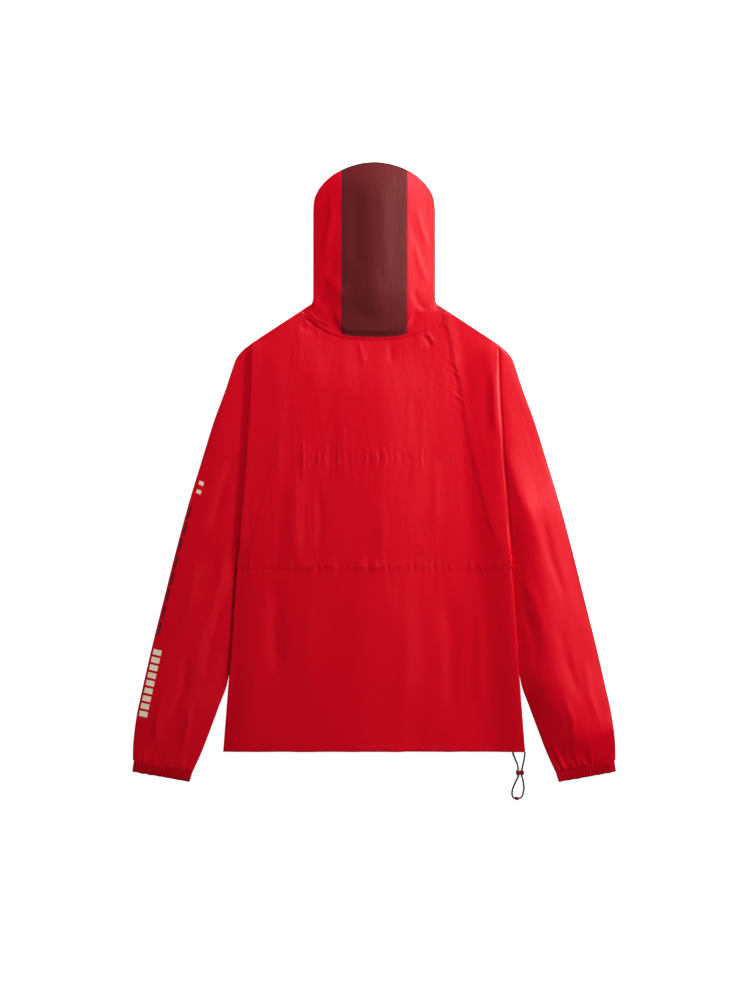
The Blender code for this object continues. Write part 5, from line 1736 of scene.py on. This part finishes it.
# ---- Hem cord and its fittings -----------------------------------
@dataclass
class HemCord:
    """The elastic hem cord: out of the hem, through the lock, into the bead and back."""

    elastic: CordFinish
    fitting: SpeckledFinish
    diameter: float = 3.4
    sides: int = 14
    lock_centre: Place = (261.9, -540.0, 3.3)
    lock_size: Place = (14.8, 9.5, 6.4)
    bead_centre: Place = (256.4, -586.2, 3.2)
    bead_size: Place = (8.2, 7.0, 6.2)
    route: tuple[Place, ...] = (
        (249.0, -503.6, 2.0), (249.8, -507.5, 2.0), (254.2, -518.5, 2.3), (257.4, -526.5, 2.9),
        (258.6, -534.9, 3.3), (259.0, -545.1, 3.3), (256.2, -552.5, 2.5), (252.7, -560.2, 2.0),
        (249.4, -568.0, 1.9), (247.7, -575.4, 2.0), (247.9, -580.4, 2.2), (249.4, -584.4, 2.7),
        (251.4, -585.8, 3.1), (256.4, -586.2, 3.2), (261.4, -585.9, 3.1), (264.0, -584.7, 2.7),
        (266.6, -581.2, 2.2), (267.9, -576.0, 2.0), (269.0, -568.5, 1.9), (268.4, -560.5, 2.0),
        (267.0, -552.5, 2.5), (264.8, -545.1, 3.3), (265.2, -534.9, 3.3), (266.8, -528.0, 2.9),
        (268.8, -519.8, 2.3), (270.2, -511.5, 2.0), (270.8, -503.6, 2.0),
    )

    def build(self) -> None:
        """Build the cord, the lock and the bead."""
        lock, bead = self._lock(), self._bead()
        points = path_points(self.route, np.linspace(0, 1, 150))
        length = float(run_along(points)[-1])
        cord = dress(self._tube(points), self.elastic,
                     "cord_hem_inner", "cord_hem_outer", "cord_loop_inner", "cord_loop_outer")
        [value * MM for value in self.route[0]]
        LOG.info("%s: %.0f mm long", cord.name, length)

    def _tube(self, points: Array) -> Piece:
        """A round tube along the route, with its own grain coordinates.

        Args:
            points: the route.

        Returns:
            The tube.
        """
        along = np.gradient(points, axis=0)
        along /= np.linalg.norm(along, axis=1)[:, None]
        beside = np.cross(along, [0.0, 0.0, 1.0])
        beside /= np.linalg.norm(beside, axis=1)[:, None]
        above = np.cross(beside, along)
        turn = np.linspace(0, 2 * np.pi, self.sides, endpoint=False)
        skin = points[:, None, :] + around_line(beside, above, turn) * self.diameter / 2
        run = run_along(points) * MM
        mesh_builder = bmesh.new()
        layer = mesh_builder.loops.layers.uv.new("UVMap")
        rows = [[mesh_builder.verts.new(spot * MM) for spot in row] for row in skin]
        for i in range(len(rows) - 1):
            for k in range(self.sides):
                after = (k + 1) % self.sides
                row, further = rows[i], rows[i + 1]
                face = mesh_builder.faces.new((row[k], further[k], further[after], row[after]))
                places = ((k, i), (k, i + 1), (k + 1, i + 1), (k + 1, i))
                for loop, (around, station) in zip(face.loops, places):
                    loop[layer].uv = (around / self.sides, run[station])
        mesh_builder.faces.new(rows[0])
        mesh_builder.faces.new(rows[-1][::-1])
        bmesh.ops.recalc_face_normals(mesh_builder, faces=mesh_builder.faces)
        mesh = bpy.data.meshes.new("hem_cord")
        mesh_builder.to_mesh(mesh)
        mesh_builder.free()
        return placed(mesh)

    def _lock(self) -> Piece:
        """The lock: a block with two round lobes and a narrow waist, modelled from a cube.

        Returns:
            The lock.
        """
        start_primitive()
        bpy.ops.mesh.primitive_cube_add(size=1.0, location=Vector(self.lock_centre) * MM)
        self._slice(self.lock_centre, self.lock_size, (-0.32, -0.18, 0.0, 0.18, 0.32))
        lock = bpy.context.object
        for vertex in lock.data.vertices:
            share = abs(vertex.co.x / MM) / self.lock_size[0]
            narrow = 0.74 + 0.26 * float(ease((share - 0.05) / 0.16))
            taper = 1.0 - 0.16 * float(ease((share - 0.34) / 0.16))
            vertex.co.yz = vertex.co.yz * narrow * taper
        return finish_primitive(lock, "cord_lock", 1.5, self.fitting)

    def _bead(self) -> Piece:
        """The bead that joins the cord's two ends, a rounded barrel modelled from a cylinder.

        Returns:
            The bead.
        """
        start_primitive()
        bpy.ops.mesh.primitive_cylinder_add(vertices=24, radius=0.5, depth=1.0, rotation=(0, math.pi / 2, 0),
                                            location=Vector(self.bead_centre) * MM)
        bead = bpy.context.object
        bpy.ops.object.transform_apply(location=False, rotation=True, scale=False)
        self._slice(self.bead_centre, self.bead_size, (-0.3, 0.0, 0.3))
        for vertex in bead.data.vertices:
            share = abs(vertex.co.x) / (self.bead_size[0] * MM)
            vertex.co.yz = vertex.co.yz * (1.0 - 0.32 * float(ease((share - 0.12) / 0.38)))
        return finish_primitive(bead, "cord_end", 0.5, self.fitting)

    @staticmethod
    def _slice(centre: Place, size: Place, shares: Sequence[float]) -> None:
        """Bring the new primitive to its size and cut it square to x at these shares of its width.

        Args:
            centre, size: its place and size.
            shares: where the cuts lie, from -0.5 to 0.5.
        """
        bpy.ops.object.mode_set(mode="EDIT")
        bpy.ops.transform.resize(value=tuple(length * MM for length in size))
        for share in shares:
            bpy.ops.mesh.select_all(action="SELECT")
            bpy.ops.mesh.bisect(plane_co=(Vector(centre) + Vector((share * size[0], 0, 0))) * MM,
                                plane_no=(1.0, 0.0, 0.0))
        bpy.ops.object.mode_set(mode="OBJECT")


def start_primitive() -> None:
    """Deselect everything before a new primitive is added."""
    for piece in bpy.context.selected_objects:
        piece.select_set(False)


def finish_primitive(piece: Piece, node: str, radius: float, finish: Finish) -> Piece:
    """Bevel a small solid, put its place in its mesh and dress it.

    Args:
        piece: the shaped primitive.
        node: the solid that it stands for.
        radius: size of the bevel in millimetres.
        finish: its finish.

    Returns:
        The finished piece.
    """
    bevel = piece.modifiers.new("edges", "BEVEL")
    bevel.width = radius * MM
    bevel.segments = 3
    bevel.limit_method = "ANGLE"
    bevel.angle_limit = math.radians(40)
    bpy.ops.object.modifier_apply(modifier=bevel.name)
    bpy.ops.object.transform_apply(location=True, rotation=True, scale=True)
    bpy.ops.object.shade_smooth_by_angle(angle=math.radians(40))
    piece.name = node + "_fitting"
    return dress(piece, finish, node)


# ---- Stitching ---------------------------------------------------
@dataclass
class Stitching:
    """Rows of small stitches that lie on the cloth."""

    thread: Finish
    back: BackPanels
    hood: Hood
    pitch: float = 3.6
    stitch: float = 2.5
    radius: float = 0.16
    sides: int = 5

    def build(self) -> None:
        """Build the rows on the back, along the raglan seams, round the neck, on the hood and at the hem."""
        form, on_back = self.back.form, self.back.surface
        self._piece("stitching_waist", [self._level(WAIST_LINE + 2.4, -241.0, 241.0),
                                        self._level(WAIST_LINE - 2.4, -247.0, 247.0),
                                        self._level(-178.4, 163, 180, 20), self._level(-180.6, 163, 180, 20)])
        yoke_half = float(form.raglan_x(np.array(YOKE_LINE))) - 2
        self._piece("stitching_yoke", [self._level(YOKE_LINE - 2.4, -yoke_half, yoke_half)])
        self._piece("stitching_hem", [self._level(HEM_LINE + 12.2, -268.0, 268.0)])
        heights = np.linspace(278, -166, 500)
        rows = [self._on(side.value * (form.raglan_x(heights) + away), heights, on_back)
                for side in Side for away in (1.8, 6.0)]
        self._piece("stitching_raglan", rows)
        x = np.linspace(-120, 120, 300)
        tape_y = form.back_neck_y(np.abs(x)) - 5.4
        tape = np.stack([x, tape_y, on_back(x, tape_y) + 0.3], axis=1)
        self._piece("stitching_neck", [tape])
        heights = np.linspace(252, 528, 320)
        rows = [self._on(side.value * (BAND_HALF + 1.9) + 0 * heights, heights, self.hood.surface)
                for side in Side]
        self._piece("stitching_hood", rows)

    def _level(self, y: float, first: float, last: float, count: int = 400) -> Array:
        """A row of places across the back at one height."""
        return self._on(np.linspace(first, last, count), np.full(count, y), self.back.surface)

    @staticmethod
    def _on(x: Array, y: Array, surface: Callable[[Array, Array], Array]) -> Array:
        """Lay a line of places on a surface."""
        return np.stack([x, y, surface(x, y)], axis=1)

    def _piece(self, name: str, lines: list[Array]) -> None:
        """Sew rows of stitches along lines of places on the cloth and join them into one piece.

        Args:
            name: the piece's name.
            lines: the lines.
        """
        rows = [self._stitched(line) for line in lines]
        start, end = (np.vstack([row[k] for row in rows]) for k in range(2))
        points, faces = self._spindles(start, end)
        mesh = bpy.data.meshes.new(name)
        mesh.from_pydata((points * MM).tolist(), [], faces)
        dress(placed(mesh, crisp=False), self.thread)

    def _stitched(self, line: Array) -> list[Array]:
        """Where the stitches along a line start and end."""
        run = run_along(line)
        first = np.arange(0.5, run[-1] - self.stitch, self.pitch)
        return [np.stack([np.interp(at, run, line[:, k]) for k in range(3)], axis=1)
                for at in (first, first + self.stitch)]

    def _spindles(self, start: Array, end: Array) -> tuple[Array, list[tuple[int, ...]]]:
        """Small closed spindles from each start to each end.

        Args:
            start, end: where the stitches start and end.

        Returns:
            The points and the faces of all of them.
        """
        along = end - start
        beside = np.cross(along, [0.0, 0.0, 1.0])
        beside /= np.linalg.norm(beside, axis=1)[:, None]
        above = np.cross(beside, along)
        above /= np.linalg.norm(above, axis=1)[:, None]
        sides = self.sides
        rings = [start[:, None, :]]
        ring = self.radius * around_line(beside, above, np.arange(sides) * 2 * np.pi / sides)
        for share in (0.16, 0.84):
            rings.append((start + along * share)[:, None, :] + ring + np.array([0.0, 0.0, self.radius * 0.5]))
        rings.append(end[:, None, :])
        points = np.concatenate(rings, axis=1)
        faces = []
        for index in range(len(start)):
            base = index * (2 * sides + 2)
            for k in range(sides):
                after = (k + 1) % sides
                one, other = base + 1 + k, base + 1 + after
                faces.append((base, other, one))
                faces.append((one, other, other + sides, one + sides))
                faces.append((base + 2 * sides + 1, one + sides, other + sides))
        return points.reshape(-1, 3), faces


# ---- Studio ------------------------------------------------------
@dataclass
class Studio:
    """The pale floor, the soft lights and the camera straight above."""

    view_centre: tuple[float, float] = (1.5, -50.9)
    view_height: float = 1796.5
    lens: float = 85.0
    sensor: float = 36.0

    def build(self) -> None:
        """Build the whole studio."""
        self._camera()
        self._floor()
        self._light("key", (1.85, 1.4, 0.9), (1.4, 0.9), 150.0, (0.05, 0.02, 0.0))
        self._light("gleam", (1.85, 1.4, 0.9), (1.4, 0.9), 950.0, (0.05, 0.02, 0.0), gloss_only=True)
        self._light("fill", (-0.3, 0.2, 2.6), (2.6, 2.6), 9.0, (0.0, 0.0, 0.0))
        self._world()
        bpy.context.scene.view_settings.view_transform = "Standard"
        LOG.info("studio: camera %.2f m above the floor", self.view_height * MM * self.lens / self.sensor)

    def _camera(self) -> None:
        """The camera, which looks straight down with +Y up in the picture."""
        data = bpy.data.cameras.new("camera")
        data.lens, data.sensor_width, data.clip_end = self.lens, self.sensor, 60.0
        camera = bpy.data.objects.new("camera", data)
        height = self.view_height * MM * self.lens / self.sensor
        camera.location = (self.view_centre[0] * MM, self.view_centre[1] * MM, height)
        bpy.context.scene.collection.objects.link(camera)
        bpy.context.scene.camera = camera

    def _floor(self) -> None:
        """A plain white floor that shows only a faint shadow."""
        start_primitive()
        bpy.ops.mesh.primitive_plane_add(size=14.0, location=(0.0, 0.0, -0.0004))
        floor = bpy.context.object
        floor.name = "floor"
        bpy.ops.object.transform_apply(location=True, rotation=True, scale=True)
        material, _, shader = start_material("white_floor")
        for label, value in (("Base Color", (0.8, 0.8, 0.8, 1.0)), ("Roughness", 0.9),
                             ("Specular IOR Level", 0.0), ("Emission Color", (1.0, 1.0, 1.0, 1.0)),
                             ("Emission Strength", 0.88)):
            shader.inputs[label].default_value = value
        floor.data.materials.append(material)

    @staticmethod
    def _light(name: str, place: Place, size: tuple[float, float], power: float, aim: Place,
               gloss_only: bool = False) -> None:
        """A soft rectangular light.

        Args:
            name: the light's name.
            place: where it stands, in metres.
            size: its width and height in metres.
            power: its power in watts.
            aim: the place it points to.
            gloss_only: whether it lights only the cloth's gloss, or else all but that.
        """
        data = bpy.data.lights.new(name, "AREA")
        data.shape, data.size, data.size_y, data.energy = "RECTANGLE", size[0], size[1], power
        light = bpy.data.objects.new(name, data)
        light.location = place
        light.visible_glossy = gloss_only
        light.visible_diffuse = not gloss_only
        light.rotation_euler = (Vector(aim) - Vector(place)).to_track_quat("-Z", "Y").to_euler()
        bpy.context.scene.collection.objects.link(light)

    @staticmethod
    def _world() -> None:
        """White behind the floor, and a low even light from all round."""
        world = bpy.data.worlds.new("studio")
        world.use_nodes = True
        bpy.context.scene.world = world
        board = Board(world.node_tree)
        shader = world.node_tree.nodes["Background"]
        ray = board.add("ShaderNodeLightPath").outputs["Is Camera Ray"]
        board.feed(shader.inputs["Strength"], board.math("ADD", board.math("MULTIPLY", ray, 0.9), 0.1))
        shader.inputs["Color"].default_value = (1.0, 1.0, 1.0, 1.0)
        world.cycles_visibility.glossy = False


# ---- The whole garment -------------------------------------------
RED = (0.62, 0.0008, 0.0115)
DEEP_RED = (0.46, 0.0005, 0.008)
# Painted shade: the cuffs are the same red nylon, given a darker red to stand in for the shade that falls on
# them.
SHADED_CUFF_RED = (0.47, 0.0006, 0.008)
MAROON = (0.122, 0.0145, 0.0165)
DEEP_MAROON = (0.086, 0.009, 0.011)
CREAM = (0.80, 0.70, 0.52)
PRINT_MAROON = (0.10, 0.012, 0.018)
THREAD_RED = (0.38, 0.001, 0.008)
DEEP_THREAD_RED = (0.28, 0.0008, 0.006)
FITTING_RED = (0.20, 0.002, 0.016)
DEEP_FITTING_RED = (0.13, 0.0015, 0.011)
CORD_BLACK = (0.018, 0.015, 0.018)
CORD_GREY = (0.06, 0.052, 0.056)

# colour, left and right side, start and end, pitch and the share of it that a bar fills
SLEEVE_BARS = (
    PrintedBars(CREAM, 3.0, 18.0, 686.0, 812.0, 14.2, 0.7),
    PrintedBars(PRINT_MAROON, 2.6, 6.4, 420.0, 668.0, 31.0, 0.78),
    PrintedBars(CREAM, 6.0, 15.0, 372.0, 404.0, 16.0, 0.45),
)


def main() -> None:
    """Build every piece in turn, then the studio."""
    logging.basicConfig(level=logging.INFO, format="%(name)s: %(message)s")
    red = NylonFinish("crinkled_red", "red_nylon", RED, DEEP_RED)
    band = NylonFinish("crinkled_maroon", "maroon_nylon", MAROON, DEEP_MAROON, gleam=0.004,
                       gleam_roughness=0.52, shift=0.31)
    printed = NylonFinish("crinkled_red_with_bars", "red_nylon", RED, DEEP_RED, bars=SLEEVE_BARS)
    # The cuffs' red nylon, painted darker as shade.
    gathered = NylonFinish("crinkled_red_on_elastic_painted_darker", "red_nylon", SHADED_CUFF_RED, DEEP_RED, gleam=0.008)
    thread = SpeckledFinish("red_thread", "red_nylon", THREAD_RED, DEEP_THREAD_RED,
                            share=1.0, scale=2600.0, roughness=0.6, unevenness=0.0, bump=0.4, gloss=0.0)
    fitting = SpeckledFinish("moulded_fitting", "cord_fitting", FITTING_RED, DEEP_FITTING_RED,
                             share=0.6, scale=900.0, roughness=0.3, unevenness=0.15, bump=0.25, gloss=0.15)
    elastic = CordFinish("braided_elastic", "cord_elastic", CORD_BLACK, CORD_GREY)
    form = FlatForm()
    back = BackPanels(form, red)
    hood = Hood(form, red, band)
    HemCord(elastic, fitting).build()
    back.build()
    FrontPanel(form, red).build()
    hood.build()
    for side in Side:
        Sleeve(form, side, red if side is Side.RIGHT else printed).build()
        Cuff(side, gathered).build()
    Stitching(thread, back, hood).build()
    Studio().build()


if __name__ == "__main__":
    main()
